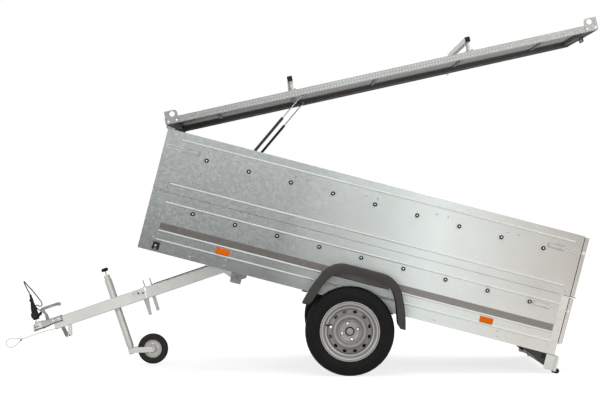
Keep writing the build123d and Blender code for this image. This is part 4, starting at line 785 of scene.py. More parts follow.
def filled_in(stations):
    """Stations in order, with more put in where two stand too far apart."""
    made = [stations[0]]
    for far in stations[1:]:
        near, gap = made[-1], far - made[-1]
        parts = ceil(gap / LONGEST_PANEL_FACE)
        made += [near + gap * k / parts for k in range(1, parts)] + [far]
    return made


def rib_height(s, t, ribs):
    """How far a board's face stands out at a point, from the swaged ribs near it."""
    highest = 0
    for rib_t, start, end in ribs:
        past = max(start - s, 0, s - end)
        distance = hypot(past, t - rib_t)
        if distance < RIB_SPREAD:
            highest = max(highest, RIB_HEIGHT * (0.5 + 0.5 * cos(pi * distance / RIB_SPREAD)))
    return highest


def board(form, s_limits, t_limits, ribs, thickness, place, crest):
    """A sheet board with swaged ribs; place turns along, up and out into a point, and crest is the
    finish of the painted highlight on the ribs' crests.
    """
    steps = [k * RIB_SPREAD / RIB_STEPS for k in range(RIB_STEPS + 1)] + [RIB_SPREAD + 1.5]
    s_stations, t_stations = set(s_limits), set(t_limits)
    for rib_t, start, end in ribs:
        t_stations.update(rib_t + way * step for way in (-1, 1) for step in steps)
        for stop, way in ((start, -1), (end, 1)):
            s_stations.update(stop + way * step for step in steps)
    filled = filled_in(sorted(s_stations))
    rows = [s for i, s in enumerate(filled) if i == 0 or s - filled[i - 1] > 0.2]
    columns = [t for t in sorted(t_stations) if t_limits[0] <= t <= t_limits[1]]
    plain = form.paint

    ends = (columns[0], columns[-1])
    outer = [form.points([place(s, rib_height(s, t, ribs), t) for t in columns]) for s in rows]
    inner = [form.points([place(s, -thickness, t) for t in ends]) for s in rows]
    for i in range(len(rows) - 1):
        for j in range(len(columns) - 1):
            middle = ((rows[i] + rows[i + 1]) / 2, (columns[j] + columns[j + 1]) / 2)
            # faces on a rib's crest take the crest finish, a painted highlight
            form.paint = crest if rib_height(*middle, ribs) > 0.2 * RIB_HEIGHT else plain
            form.face((outer[i][j], outer[i + 1][j], outer[i + 1][j + 1], outer[i][j + 1]))
        form.paint = plain
        form.face((inner[i][0], inner[i][1], inner[i + 1][1], inner[i + 1][0]))
        form.face((outer[i][0], inner[i][0], inner[i + 1][0], outer[i + 1][0]))
        form.face((outer[i][-1], outer[i + 1][-1], inner[i + 1][-1], inner[i][-1]))
    for i in (0, len(rows) - 1):
        form.face(outer[i] + [inner[i][1], inner[i][0]])


def reach_at(outline, height):
    """How far a half outline of the fender reaches along x at a height, 0 if it stays below."""
    for (low_x, low_z), (high_x, high_z) in zip(outline, outline[1:]):
        if low_z <= height <= high_z:
            return low_x + (high_x - low_x) * (height - low_z) / (high_z - low_z)
    return 0


def rib_runs(rib_z):
    """A side's rib runs whole, or breaks off at the fender and shows again under its band."""
    height = rib_z - WHEEL_Z
    outside = reach_at(FENDER_OUTLINE, height - RIB_HEIGHT)
    if not outside:
        return [(rib_z, *RIB_RUN)]
    break_off = outside + RIB_HEIGHT + RIB_CLEARANCE
    runs = [(rib_z, RIB_RUN[0], WHEEL_X - break_off), (rib_z, WHEEL_X + break_off, RIB_RUN[1])]
    if height + RIB_HEIGHT < FENDER_SKIRT_HEIGHT:
        under = reach_at(FENDER_INNER, height + RIB_HEIGHT) - RIB_HEIGHT - RIB_CLEARANCE
        runs.append((rib_z, WHEEL_X - under, WHEEL_X + under))
    return runs


for side_name, side in SIDES:
    for row_name, limits, heights in (("lower", (SIDE_BOTTOM_Z, BOARD_JOINT_Z - 1), LOWER_RIBS_Z),
                                      ("upper", (BOARD_JOINT_Z + 1, 0), UPPER_RIBS_Z)):
        form = Form()
        ribs = [run for rib_z in heights for run in rib_runs(rib_z)]
        board(form, (0, SIDE_END_X), limits, ribs, SIDE_WALL,
              lambda s, out, t: (s, side * (BOX_HALF_WIDTH + out), t), 1)
        piece(form, f"side_{row_name}_board_{side_name}", BOX_SEAT, "box",
              (panel_zinc, painted_highlight_zinc), (f"side_{row_name}_{side_name}",), crease=50)

# -------------------- front, rear and bottom boards
FRONT_HALF = 612                   # half widths of the flap and of the fixed board under it
FRONT_FIXED_HALF = 618
FRONT_RIB_RUN = (-552, 552)
REAR_RIB_RUN = (-580, 580)
REAR_WALL = 25
KNUCKLE_LENGTH = 30
LEAF_SHEET = 3
RIVET_RADIUS, RIVET_RISE = 4.5, 2.4
UPPER_LATCH_Z, LOWER_LATCH_Z = -106, -478
HINGED_FINISHES = (panel_zinc, bright_zinc, painted_highlight_zinc)


def leaf_knuckles(form, pin, face_x, leaf_top):
    """The board's half of its hinges: leaves with rolled knuckles and rivets."""
    pin_x, pin_z = pin
    away = 1 if pin_x > face_x else -1
    leaf_x = face_x + away * LEAF_SHEET
    for start in KNUCKLE_PLACES:
        y = (start, start + KNUCKLE_LENGTH)
        form.block(sorted((face_x, leaf_x)), y, (pin_z + 4, leaf_top + 18))
        form.strap([(face_x + away * LEAF_SHEET / 2, pin_z + 6), (pin_x, pin_z + 6)], 2.4, *y)
        form.rod((pin_x, y[0], pin_z), (pin_x, y[1], pin_z), 7, 20, 0.6)
        for rivet_z in (pin_z + 22, leaf_top + 6):
            form.dome((leaf_x, start + KNUCKLE_LENGTH / 2, rivet_z), (away, 0, 0), RIVET_RADIUS,
                      RIVET_RISE)


front_pin = (-BOARD_PIN_STANDOFF, BOARD_JOINT_Z)
rear_pin = (BOX_LENGTH + BOARD_PIN_STANDOFF, BOARD_JOINT_Z)
gate_pin = (BOX_LENGTH + BOARD_PIN_STANDOFF, FLOOR_TOP_Z - 22)

form = Form()
board(form, (-FRONT_HALF, FRONT_HALF), (BOARD_JOINT_Z + 8, -12),
      [(z, *FRONT_RIB_RUN) for z in UPPER_RIBS_Z], SIDE_WALL, lambda s, out, t: (-out, s, t), 2)
form.paint = 1
leaf_knuckles(form, front_pin, -1.2, BOARD_JOINT_Z + 38)
piece(form, "front_flap", BOX_SEAT, "front_board", HINGED_FINISHES, ("front_upper_board",),
      crease=50)

CATCH_X = (2684, 2698)


def catches(form, latch_z):
    """Hooked catch blocks on both ends of a rear board."""
    for _, side in SIDES:
        form.plate_xz(rounded(box_outline(CATCH_X, (latch_z - 9, latch_z + 9)), 3),
                      span(side, BOX_HALF_WIDTH - 2, BOX_HALF_WIDTH + 7))


REAR_BOARDS = (                    # name, node, body, limits of height, ribs, pin, latch height
    ("rear_flap", "rear_upper_board", "rear_board", (BOARD_JOINT_Z + 8, -6), UPPER_RIBS_Z,
     rear_pin, UPPER_LATCH_Z),
    ("tail_gate", "tailgate", "tailgate", (FLOOR_TOP_Z - 12, BOARD_JOINT_Z - 8),
     LOWER_RIBS_Z[:2], gate_pin, LOWER_LATCH_Z),
)
for name, node, body, limits, heights, pin, latch_z in REAR_BOARDS:
    form = Form()
    board(form, (-BOX_HALF_WIDTH + 0.5, BOX_HALF_WIDTH - 0.5), limits,
          [(z, *REAR_RIB_RUN) for z in heights], REAR_WALL,
          lambda s, out, t: (BOX_LENGTH + out, s, t), 2)
    form.paint = 1
    leaf_knuckles(form, pin, BOX_LENGTH + 1.2, limits[0] + 30)
    catches(form, latch_z)
    piece(form, name, BOX_SEAT, body, HINGED_FINISHES, (node,), crease=50)

TUNNEL_SHEET = 3                   # the cover over the drawbar's end, inside the front board
TUNNEL_X = (SIDE_WALL, 115)
TUNNEL_TOP_Z = -635
TUNNEL_OUTER = TUNNEL_HALF_WIDTH + TUNNEL_SHEET
MOUTH_PLATE_X = (-2, 0)
form = Form()
board(form, (-FRONT_FIXED_HALF, FRONT_FIXED_HALF), (FLOOR_BOTTOM_Z, BOARD_JOINT_Z - 2),
      [(z, *FRONT_RIB_RUN) for z in LOWER_RIBS_Z[:2]], SIDE_WALL,
      lambda s, out, t: (-out, s, t), 2)
form.paint = 1
tunnel_y, tunnel_z = (-TUNNEL_HALF_WIDTH, TUNNEL_HALF_WIDTH), (FLOOR_TOP_Z, TUNNEL_TOP_Z)
for cheek in ((-TUNNEL_OUTER, -TUNNEL_HALF_WIDTH), (TUNNEL_HALF_WIDTH, TUNNEL_OUTER)):
    form.block(TUNNEL_X, cheek, tunnel_z)
form.block((TUNNEL_X[1] - TUNNEL_SHEET, TUNNEL_X[1]), tunnel_y, tunnel_z)
form.block(TUNNEL_X, tunnel_y, (TUNNEL_TOP_Z - TUNNEL_SHEET, TUNNEL_TOP_Z))
form.block(MOUTH_PLATE_X, (-TUNNEL_OUTER - 3, TUNNEL_OUTER + 3),
           (FLOOR_TOP_Z - 12, TUNNEL_TOP_Z + 3))
for y, z in ((-40, -640), (40, -640), (-40, -672), (40, -672)):
    form.dome((MOUTH_PLATE_X[0], y, z), FORWARD, RIVET_RADIUS, RIVET_RISE)
piece(form, "front_fixed_board", BOX_SEAT, "box", (panel_zinc, frame_zinc, painted_highlight_zinc),
      ("front_lower_board",), crease=50)

# painted shade: the parts under the box take the darker underside zinc, and the lid frame the
# darker lid underside finish
for node, finish, edge in (
        ("rear_posts", inner_zinc, 1.0), ("floor", floor_film, 0.5), ("chassis", underside_shade_zinc, 0.0),
        ("crossmembers", underside_shade_zinc, 0.0), ("board_hinges", bright_zinc, 0.0),
        ("pivot_bracket", underside_shade_zinc, 0.0), ("axle_beam", underside_shade_zinc, 0.0),
        ("axle_arms", underside_shade_zinc, 0.0), ("lid_hinges", dull_zinc, 0.0),
        ("strut_brackets", bright_zinc, 0.0), ("lid_frame", shaded_lid_underside, 0.0),
        ("buffers", black_plastic, 0.0), ("jockey_clamp", dull_zinc, 0.0)):
    dress(node, finish, edge)

# -------------------- stripe and rivets on the sides
STRIPE_Z = (-624, -578)
STRIPE_RUN = (101, 2623)
STRIPE_CLEARANCE = 1.5
STRIPE_STEPS_Z = (-612, -600, -589)
HANDLE_X = (50, 106)               # the pale strip on the joint of the side boards
LIGHT_RIVETS = ((330, -738), (550, -704), (549, -739), (1130, -738), (1700, -704), (1899, -738),
                (2298, -704), (2300, -739), (38, -362), (42, -398), (80, -534), (81, -675),
                (2640, -362), (2640, -534), (2640, -690))
DARK_RIVETS = ((84, -355), (40, -429), (40, -667), (391, -95), (465, -95), (846, -97), (917, -97),
               (1300, -97), (1370, -97), (1750, -97), (1822, -97), (2205, -97), (2275, -97))


def stripe_end(way, z):
    """Where the stripe stops against the fender's sloping edge."""
    return WHEEL_X + way * (reach_at(FENDER_OUTLINE, z - WHEEL_Z) + STRIPE_CLEARANCE)


for side_name, side in SIDES:
    form = Form()
    for outer_x, way in zip(STRIPE_RUN, (-1, 1)):
        ends = [(stripe_end(way, z), z) for z in (STRIPE_Z[0], *STRIPE_STEPS_Z, STRIPE_Z[1])]
        form.plate_xz([(outer_x, STRIPE_Z[0]), *ends, (outer_x, STRIPE_Z[1])],
                      span(side, BOX_HALF_WIDTH - 0.2, BOX_HALF_WIDTH + 0.5))
    piece(form, f"side_stripe_{side_name}", BOX_SEAT, "box", stripe_film)

    form = Form()
    for paint, places, size in ((0, LIGHT_RIVETS, 5.5), (1, DARK_RIVETS, 4)):
        form.paint = paint
        for x, z in places:
            form.dome((x, side * BOX_HALF_WIDTH, z), (0, side, 0), size, RIVET_RISE)
    form.plate_xz(rounded(box_outline(HANDLE_X, (BOARD_JOINT_Z, BOARD_JOINT_Z + 9)), 2),
                  span(side, BOX_HALF_WIDTH - 0.2, BOX_HALF_WIDTH + 2.4))
    piece(form, f"side_rivets_{side_name}", BOX_SEAT, "box", (cap_plastic, dull_zinc))

# -------------------- knobs, lamps and latches on the sides
KNOB_ROWS_Z = (-136, -478)
KNOB_START_X, KNOB_PITCH, KNOBS_IN_A_ROW = 282, 270, 9
KNOB_PROFILE = (                   # radius, distance from the board's face
    (0, 0), (12.5, 0), (12.5, 2), (8.5, 4), (8, 9), (12, 10.5), (13, 12), (12.4, 13.6), (10, 14),
    (5.2, 13.4), (5, 12.4), (0, 12.4))
KNOB_SCREW = ((4.9, 12.2), (4.6, 13.2), (2.6, 13.8), (0, 13.9))
form = Form()
for _, side in SIDES:
    for row_z in KNOB_ROWS_Z:
        for place in range(KNOBS_IN_A_ROW):
            centre = (KNOB_START_X + place * KNOB_PITCH, side * BOX_HALF_WIDTH, row_z)
            form.paint = 0
            form.lathe(KNOB_PROFILE, centre, (0, side, 0), 24)
            form.paint = 1
            form.lathe(KNOB_SCREW, centre, (0, side, 0), 12)
piece(form, "cover_knobs", BOX_SEAT, "box", (black_plastic, bright_zinc), ("rope_knobs",))

REFLECTORS_X = (519, 2211)
REFLECTOR_HALF_LENGTH = 42
REFLECTOR_Z = (-676, -640)
form = Form()
for _, side in SIDES:
    for reflector_x in REFLECTORS_X:
        for inset, depth in ((0, 4), (3, 6.5)):
            reach_x = REFLECTOR_HALF_LENGTH - inset
            outline = box_outline((reflector_x - reach_x, reflector_x + reach_x),
                                  (REFLECTOR_Z[0] + inset, REFLECTOR_Z[1] - inset))
            form.plate_xz(rounded(outline, 4),
                          span(side, BOX_HALF_WIDTH - 0.5, BOX_HALF_WIDTH + depth))
piece(form, "amber_reflectors", BOX_SEAT, "box", lens_orange, ("side_reflectors",), edge=0.5)

MARKER_X, MARKER_Z = (86, 130), (-747, -702)
MARKER_DEPTH = 20
form = Form()
for _, side in SIDES:
    inner, outward = BOX_HALF_WIDTH, (0, side, 0)
    form.paint = 0
    form.plate_xz(rounded(box_outline(MARKER_X, MARKER_Z), 4),
                  span(side, inner, inner + MARKER_DEPTH))
    form.paint = 1
    lens = box_outline(span(side, inner + 3, inner + 18), (MARKER_Z[0] + 5, MARKER_Z[1] - 5))
    form.plate_yz(rounded(lens, 5), (MARKER_X[0] - 2, MARKER_X[0] + 1))
    form.dome((107, side * (inner + MARKER_DEPTH), -723), outward, 6, 1.6)
    form.paint = 2
    form.dome((108, side * (inner + MARKER_DEPTH), -741), outward, 3.4, 1.2)
piece(form, "front_markers", BOX_SEAT, "box", (black_plastic, lens_clear, bright_zinc),
      ("marker_lamps",), edge=0.6)

REAR_HOOK_X, FRONT_HOOK_X = 2672, 24


def toggle_latch(form, side, hook_x, latch_z, way):
    """An over-centre latch: base plate, lever, wire bail and rivets; way is towards the hook."""
    face = BOX_HALF_WIDTH
    base = sorted((hook_x - way * 210, hook_x - way * 96))
    # the base plate, darker zinc a little larger than the raised plate, shows as a thin dark rim:
    # painted shade at its edge
    form.paint = 2
    form.plate_xz(rounded(box_outline(base, (latch_z - 15, latch_z + 15)), 6),
                  span(side, face - 0.3, face + 1.6))
    form.paint = 0
    raised = box_outline((base[0] + 1.5, base[1] - 1.5), (latch_z - 13.5, latch_z + 13.5))
    form.plate_xz(rounded(raised, 5), span(side, face + 1.4, face + 2.2))
    pivot_x = hook_x - way * 118
    cheek_x = sorted((pivot_x - way * 34, pivot_x + way * 14))
    for cheek_z in (latch_z - 12, latch_z + 12):
        form.plate_xz(rounded(box_outline(cheek_x, (cheek_z - 1, cheek_z + 1)), 0.4),
                      span(side, face + 1, face + 8))
    grip_x = hook_x - way * 206
    lever = smooth_run([(pivot_x + way * 10, 0), (pivot_x - way * 20, 1.5),
                        (grip_x + way * 20, 1.2), (grip_x, 3.4)], 5)
    form.strap([(x, side * (face + 5.2 + rise)) for x, rise in lever], 1.6,
               latch_z - 10, latch_z + 10, "xy")
    # the wire bail takes the painted highlight zinc
    form.paint = 1
    bail = [(pivot_x, 8), (hook_x - way * 12, 8), (hook_x + way * 2, 6), (hook_x + way * 2, -6),
            (hook_x - way * 12, -8), (pivot_x, -8)]
    run = [(x, side * (face + 5), latch_z + z) for x, z in bail]
    form.bent_rod(smooth_run(run, 4), 1.8, 10)
    for rivet_x in (base[0] + 10, base[1] - 10):
        form.dome((rivet_x, side * (face + 2), latch_z), (0, side, 0), 4, 2)


form = Form()
for _, side in SIDES:
    toggle_latch(form, side, REAR_HOOK_X, UPPER_LATCH_Z, 1)
    toggle_latch(form, side, REAR_HOOK_X, LOWER_LATCH_Z, 1)
    toggle_latch(form, side, FRONT_HOOK_X, UPPER_LATCH_Z, -1)
piece(form, "board_latches", BOX_SEAT, "box", (panel_zinc, painted_highlight_zinc, dull_zinc),
      ("toggle_latches",), edge=0.3)

# -------------------- lamp board, lamps and number plate
LAMP_BOARD_X = (2688, 2691)
LAMP_BOARD_Z = (-860, SIDE_BOTTOM_Z)
CARRIER_X = (2627, 2708)
GUSSET_TIP_X = 2459                  # where the triangular gusset under the side board runs out; its dark finish is painted shade
half = BOX_HALF_WIDTH
low_z, high_z = LAMP_BOARD_Z
form = Form()
form.plate_yz(rounded(box_outline((-half, half), LAMP_BOARD_Z), 2), LAMP_BOARD_X)
form.block((CARRIER_X[0], LAMP_BOARD_X[0]), (-half, half), (high_z - 3, high_z))
form.block((LAMP_BOARD_X[0] - 12, LAMP_BOARD_X[0]), (-half, half), (low_z + 1, low_z + 3))
for _, side in SIDES:
    cheek = [(CARRIER_X[0], high_z), (CARRIER_X[0], low_z + 8), (CARRIER_X[0] + 8, low_z),
             (CARRIER_X[1], low_z), (CARRIER_X[1], high_z)]
    form.plate_xz(rounded(cheek, 3), span(side, half - 4, half))
    form.plate_xz(rounded(box_outline((CARRIER_X[0], SIDE_END_X), (high_z, BOARD_JOINT_Z - 3)), 2),
                  span(side, half - 0.3, half + 1.5))
# the gusset takes the dark fender finish: painted shade
form.paint = 1
for _, side in SIDES:
    form.plate_xz([(GUSSET_TIP_X, high_z), (2660, high_z), (2660, -851)],
                  span(side, half - 10, half - 6))
piece(form, "lamp_carrier", BOX_SEAT, "box", (frame_zinc, fender_plastic), ("lamp_board",),
      edge=0.5)

LAMP_SPLITS = (400, 452, 508, 560)   # the lamp's inner end, the joints of its lenses, its outer end
LAMP_Z = (-846, -776)
LAMP_X = (2690, 2704, 2717)        # back, front of the base, front of the lenses
LAMP_RIM = 5
form = Form()
for _, side in SIDES:
    inner_end, outer_end = LAMP_SPLITS[0], LAMP_SPLITS[-1]
    form.paint = 0
    form.plate_yz(rounded(box_outline(span(side, inner_end, outer_end), LAMP_Z), 13), LAMP_X[:2])
    for paint, near, far in zip((1, 2, 3), LAMP_SPLITS, LAMP_SPLITS[1:]):
        form.paint = paint
        at_end = near == inner_end or far == outer_end
        lens_y = span(side, near + (LAMP_RIM if near == inner_end else 1),
                      far - (LAMP_RIM if far == outer_end else 1))
        lens = box_outline(lens_y, (LAMP_Z[0] + LAMP_RIM, LAMP_Z[1] - LAMP_RIM))
        form.plate_yz(rounded(lens, 10 if at_end else 2), (LAMP_X[1] - 2, LAMP_X[2]))
    form.paint = 4
    for screw_y in (inner_end + 8, outer_end - 8):
        form.dome((LAMP_X[2], side * screw_y, sum(LAMP_Z) / 2), REARWARD, 3.2, 1.5)
piece(form, "rear_lamps", BOX_SEAT, "box",
      (black_plastic, lens_red, lens_orange, lens_clear, bright_zinc), ("tail_lamps",), edge=1.2)

PLATE_HALF_WIDTH, PLATE_Z = 252, (-850, -775)
PLATE_RIM = 8
holder_half = PLATE_HALF_WIDTH + PLATE_RIM
form = Form()
form.plate_yz(rounded(box_outline((-holder_half, holder_half), (-856, -768)), 9), (2691, 2694))
form.paint = 1
form.plate_yz(rounded(box_outline((-PLATE_HALF_WIDTH, PLATE_HALF_WIDTH), PLATE_Z), 6),
              (2693.6, 2695.6))
form.paint = 2
for y in (-200, 200):
    form.dome((2695.4, y, -812), REARWARD, 4, 0.6)
piece(form, "number_plate_blank", BOX_SEAT, "box", (black_plastic, blank_plate, dull_zinc),
      ("plate_holder",), edge=0.4)

CONNECTOR_X, CONNECTOR_Z = (2599, 2629), (-797, -770)
form = Form()
for _, side in SIDES:
    form.plate_xz(rounded(box_outline(CONNECTOR_X, CONNECTOR_Z), 3),
                  span(side, half - 10, half - 1))
piece(form, "lamp_connectors", BOX_SEAT, "box", black_plastic, edge=0.6)

# -------------------- fenders
def whole_arch(half):
    """An edge of the fender from front foot to rear foot, made from its half outline."""
    return smooth_run([(-x, z) for x, z in half] + [(x, z) for x, z in reversed(half)], 8)


def evenly(run, count):
    """Points spaced evenly along a run."""
    lengths = [0]
    for near, far in zip(run, run[1:]):
        lengths.append(lengths[-1] + hypot(far[0] - near[0], far[1] - near[1]))
    made, i = [], 0
    for k in range(count):
        wanted = lengths[-1] * k / (count - 1)
        while i < len(run) - 2 and lengths[i + 1] < wanted:
            i += 1
        share = (wanted - lengths[i]) / (lengths[i + 1] - lengths[i])
        made.append(Vector(run[i]).lerp(Vector(run[i + 1]), min(share, 1)))
    return made


ARCH_STATIONS = 90
FENDER_SHEET = 3
SKIRT_TOP = 343
SKIRT_HEM = 4
SKIRT_BOLTS_X = (-143, 154)        # from the wheel's middle
arch_pairs = list(zip(evenly(whole_arch(FENDER_OUTLINE), ARCH_STATIONS),
                      evenly(whole_arch(FENDER_INNER), ARCH_STATIONS)))
FENDER_SECTION = (                 # across from the box, share of the way from outer to inner edge
    (0.4, 1), (0.4, 0.2), (1.5, 0.07), (6, 0), (62, 0), (68, 0.03), (122, 0.03), (128, 0),
    (185, 0), (191, 0.04), (194.4, 0.13), (FENDER_WIDTH, 0.28), (FENDER_WIDTH, 0.84), (194.2, 0.88),
    (194.2, 0.95), (FENDER_WIDTH, 1))

for side_name, side in SIDES:
    form = Form()
    rows = []
    for outer_edge, inner_edge in arch_pairs:
        row = []
        for across, share in FENDER_SECTION:
            place = outer_edge.lerp(inner_edge, share)
            row.append((WHEEL_X + place.x, side * (BOX_HALF_WIDTH + across), WHEEL_Z + place.y))
        rows.append(form.points(row))
    form.skin(rows, open_rings=True)
    made = piece(form, f"mudguard_{side_name}", BOX_SEAT, "box", fender_plastic,
                 (f"fender_{side_name}",), crease=50)
    sheet = made.modifiers.new("sheet", "SOLIDIFY")
    sheet.thickness = FENDER_SHEET * MM
    sheet.offset = -1

    form = Form()
    low_z = WHEEL_Z + FENDER_SKIRT_HEIGHT
    skirt_x = (WHEEL_X - FENDER_SKIRT_REACH, WHEEL_X + FENDER_SKIRT_REACH)
    form.block(skirt_x, span(side, BOX_HALF_WIDTH, BOX_HALF_WIDTH + FENDER_SHEET),
               (low_z + SKIRT_HEM, WHEEL_Z + SKIRT_TOP))
    # the hem along the skirt's lower edge is painted black: painted shade
    form.paint = 1
    form.block(skirt_x, span(side, BOX_HALF_WIDTH, BOX_HALF_WIDTH + 3.4),
               (low_z, low_z + SKIRT_HEM))
    form.paint = 0
    for bolt_x in SKIRT_BOLTS_X:
        form.hex_bolt((WHEEL_X + bolt_x, side * (BOX_HALF_WIDTH + 3.2), low_z + 12), (0, side, 0),
                      13, 5, 10)
    piece(form, f"mudguard_skirt_{side_name}", BOX_SEAT, "box", (skirt_grey, black_plastic),
          crease=30)

# -------------------- road wheels
TYRE_STEPS = 180
WHEEL_STEPS = 144                  # facets of the rim and the disc
SIDEWALL = (                       # radius, distance from the middle plane
    (RIM_RADIUS - 4, 61), (RIM_RADIUS, 66), (187, 69.5), (190, 71.4), (193, 72.3), (197, 73),
    (199, 72.2), (209, 76.2), (214.5, 77.4), (226, 77.2), (236, 76.6), (238, 75.6), (241, 76.2),
    (250, 74.2), (258, 71.2), (263.5, 69))
GROOVE_FLOOR = 268
TREAD = (                          # the same, over the crown with its grooves
    (267.4, 65), (270.2, 60.5), (272, 56.5), (273.2, 51), (274.1, 45), (GROOVE_FLOOR, 43.4),
    (GROOVE_FLOOR, 40.6), (274.3, 39.6), (274.4, 30), (TYRE_RADIUS, 22), (TYRE_RADIUS, 17.4),
    (GROOVE_FLOOR, 16.4), (GROOVE_FLOOR, 13.6), (TYRE_RADIUS, 12.6), (TYRE_RADIUS, 6),
    (TYRE_RADIUS, 0))
CUT_DEPTH = 4.5                    # of the cuts across the shoulders and the ribs
DISC_FACE = (                      # radius, distance outboard of the disc's seat
    (28, 6), (34, 6.4), (58, 6.4), (61, 7), (63, 8.6), (66, 8.2), (70, 9.4), (73, 12.6),
    (76, 14.4), (80, 18.6), (84, 23.4), (88, 26.4), (92, 27.8), (96.5, 27.2), (101, 24),
    (105, 20), (109, 16.8), (114, 15.4), (123, 14.8), (130, 13.8), (135, 11.4), (139, 8.6))
DISC_BACK = ((141, 6), (141, 1), (139, 2), (128, 8), (108, 10), (99, 18), (92, 22), (86, 18),
             (80, 9), (66, 0), (28, 0))
RIM_FACE = (                       # radius, distance outboard of the middle plane
    (182, 69.4), (184, 68.6), (184, 67), (181.4, 65.4), (174, 56), (164, 50), (157, 38),
    (152, 30), (144, 10), (144, -22), (150, -34), (160, -54), (172, -60), (182, -66), (184, -68),
    (182.4, -70), (179, -68.6), (166, -58), (154, -46), (145, -32), (141.4, -20), (141.4, 36),
    (142.2, 40), (146, 41.5), (152, 43), (156, 47), (160, 55), (166, 59), (171, 60.2),
    (174, 60.6), (176.5, 63), (178, 67.6), (180, 69.8))
SHADED_BANDS = ((61.5, 66), (71.5, 76), (106, 139.5))
# rings of the rim painted lighter: painted highlight
LIP_HIGHLIGHT_BANDS = ((142, 152), (167, 175), (178, 185))
VENTS = 12
VENT_CIRCLE_RADIUS = 123
VENT_HALF = (13.5, 9.5)            # around the wheel, and away from its middle
BOLTS = 4
BOLT_CIRCLE_RADIUS = 50
BOLT_START = 15
BOLT_HOLE = ((0, 0), (6.5, 0), (6.5, 34), (10, 38), (10, 70), (0, 70))
HUB_PROFILE = (                    # these four: radius, distance outboard of the middle plane
    (0, -78), (44, -78), (45, -76), (45, 21.5), (63, 21.5), (64, 23), (64, 29), (27, 29.6),
    (27, 36), (0, 36))
HUB_COLLAR = ((21.6, 36), (27.5, 36), (27.6, 46), (26.6, 50), (24, 52), (21.6, 52))
HUB_CAP = ((0, 36), (21, 36), (21.2, 52), (20.4, 54.4), (17, 55.4), (8, 55.9), (0, 56))
VALVE_ANGLE, VALVE_FOOT, VALVE_TIP = 165, (152, 45), (129, 56)
BOLT_WASHER = ((0, 0), (11, 0), (11, 1.4), (10.4, 2), (0, 2))     # radius, height from its seat
BOLT_HEAD = ((0, 2), (9.4, 2), (9.4, 9.6), (8.4, 11), (4, 11.6), (0, 11.8))


def paint_bands(form, centre, bands):
    """Gives a turned form's second finish to the faces between pairs of radii."""
    for face in form.mesh.faces:
        middle = face.calc_center_median() - centre
        if any(low < hypot(middle.x, middle.z) < high for low, high in bands):
            face.material_index = 1


def spoke(centre, side, radius, angle, out):
    """A point of a wheel at a radius, an angle in degrees and a distance outboard."""
    turn = radians(angle)
    return centre + Vector((radius * cos(turn), side * out, radius * sin(turn)))


for side_name, side in SIDES:
    centre = Vector((0, side * WHEEL_TRACK_HALF, TYRE_RADIUS))
    wheel = f"wheel_{side_name}"
    outward = (0, side, 0)
    form = Form()
    section = [*SIDEWALL, *TREAD] + [(r, -w) for r, w in reversed([*SIDEWALL, *TREAD[:-1]])]
    rings = []
    for k in range(TYRE_STEPS):
        turn = 2 * pi * k / TYRE_STEPS
        ring = []
        for radius, across in section:
            shoulder = 44 < abs(across) < 66 and radius > 265
            rib = 17.5 < abs(across) < 39 and radius > 271
            phase = k % 5 if across > 0 else (k + 2) % 5
            if (shoulder and phase == 0) or (rib and (k % 6) == (0 if across > 0 else 3)):
                radius -= CUT_DEPTH
            ring.append(centre + Vector((radius * cos(turn), side * across, radius * sin(turn))))
        rings.append(form.points(ring))
    form.skin(rings, closed=True)
    piece(form, f"road_tyre_{side_name}", GROUND_SEAT, wheel, tyre_rubber, (f"tyre_{side_name}",),
          crease=32)

    form = Form()
    form.lathe(RIM_FACE, centre, outward, WHEEL_STEPS, closed=True)
    paint_bands(form, centre, LIP_HIGHLIGHT_BANDS)
    piece(form, f"rim_barrel_{side_name}", GROUND_SEAT, wheel, (wheel_paint, lip_highlight_paint),
          (f"rim_{side_name}",))

    form = Form()
    form.lathe([(r, MOUNT_OFFSET + out) for r, out in (*DISC_FACE, *DISC_BACK)], centre, outward,
               WHEEL_STEPS, closed=True)
    paint_bands(form, centre, SHADED_BANDS)
    pressed = piece(form, f"wheel_disc_{side_name}", GROUND_SEAT, wheel, (wheel_paint, wheel_shade))
    cutters = Form()
    vent = [(VENT_HALF[0] * a, VENT_CIRCLE_RADIUS + VENT_HALF[1] * b)
            for a, b in circle(0, 0, 1, 28)]
    for k in range(VENTS):
        turn = radians((k + 0.5) * 360 / VENTS)
        away, round_by = Vector((cos(turn), 0, sin(turn))), Vector((-sin(turn), 0, cos(turn)))
        cutters.prism(vent, 0, 70, lambda a, b, depth: tuple(centre + round_by * a + away * b
                                                             + Vector((0, side * depth, 0))))
    for k in range(BOLTS):
        spot = spoke(centre, side, BOLT_CIRCLE_RADIUS, BOLT_START + 360 / BOLTS * k, 0)
        cutters.lathe(BOLT_HOLE, spot, outward, 20)
    cut_away(pressed, cutters, f"disc_cutter_{side_name}")

    form = Form()
    form.lathe(HUB_PROFILE, centre, outward, 48)
    # the collar round the cap is black: painted shade round the cap
    form.paint = 3
    form.lathe(HUB_COLLAR, centre, outward, 48, closed=True)
    form.paint = 1
    form.lathe(HUB_CAP, centre, outward, 48)
    for k in range(BOLTS):
        spot = spoke(centre, side, BOLT_CIRCLE_RADIUS, BOLT_START + 360 / BOLTS * k,
                     MOUNT_OFFSET + 6)
        # the washers under the bolt heads are black: painted shade round the heads
        form.paint = 3
        form.lathe(BOLT_WASHER, spot, outward, 24)
        form.paint = 2
        form.lathe(BOLT_HEAD, spot, outward, 6)
    form.paint = 3
    foot, tip = (spoke(centre, side, radius, VALVE_ANGLE, out)
                 for radius, out in (VALVE_FOOT, VALVE_TIP))
    form.rod(foot, tip, 4.4, 12, 0.8)
    piece(form, f"hub_and_bolts_{side_name}", GROUND_SEAT, wheel,
          (dull_zinc, wheel_paint, bright_zinc, black_plastic), (f"hub_{side_name}",))

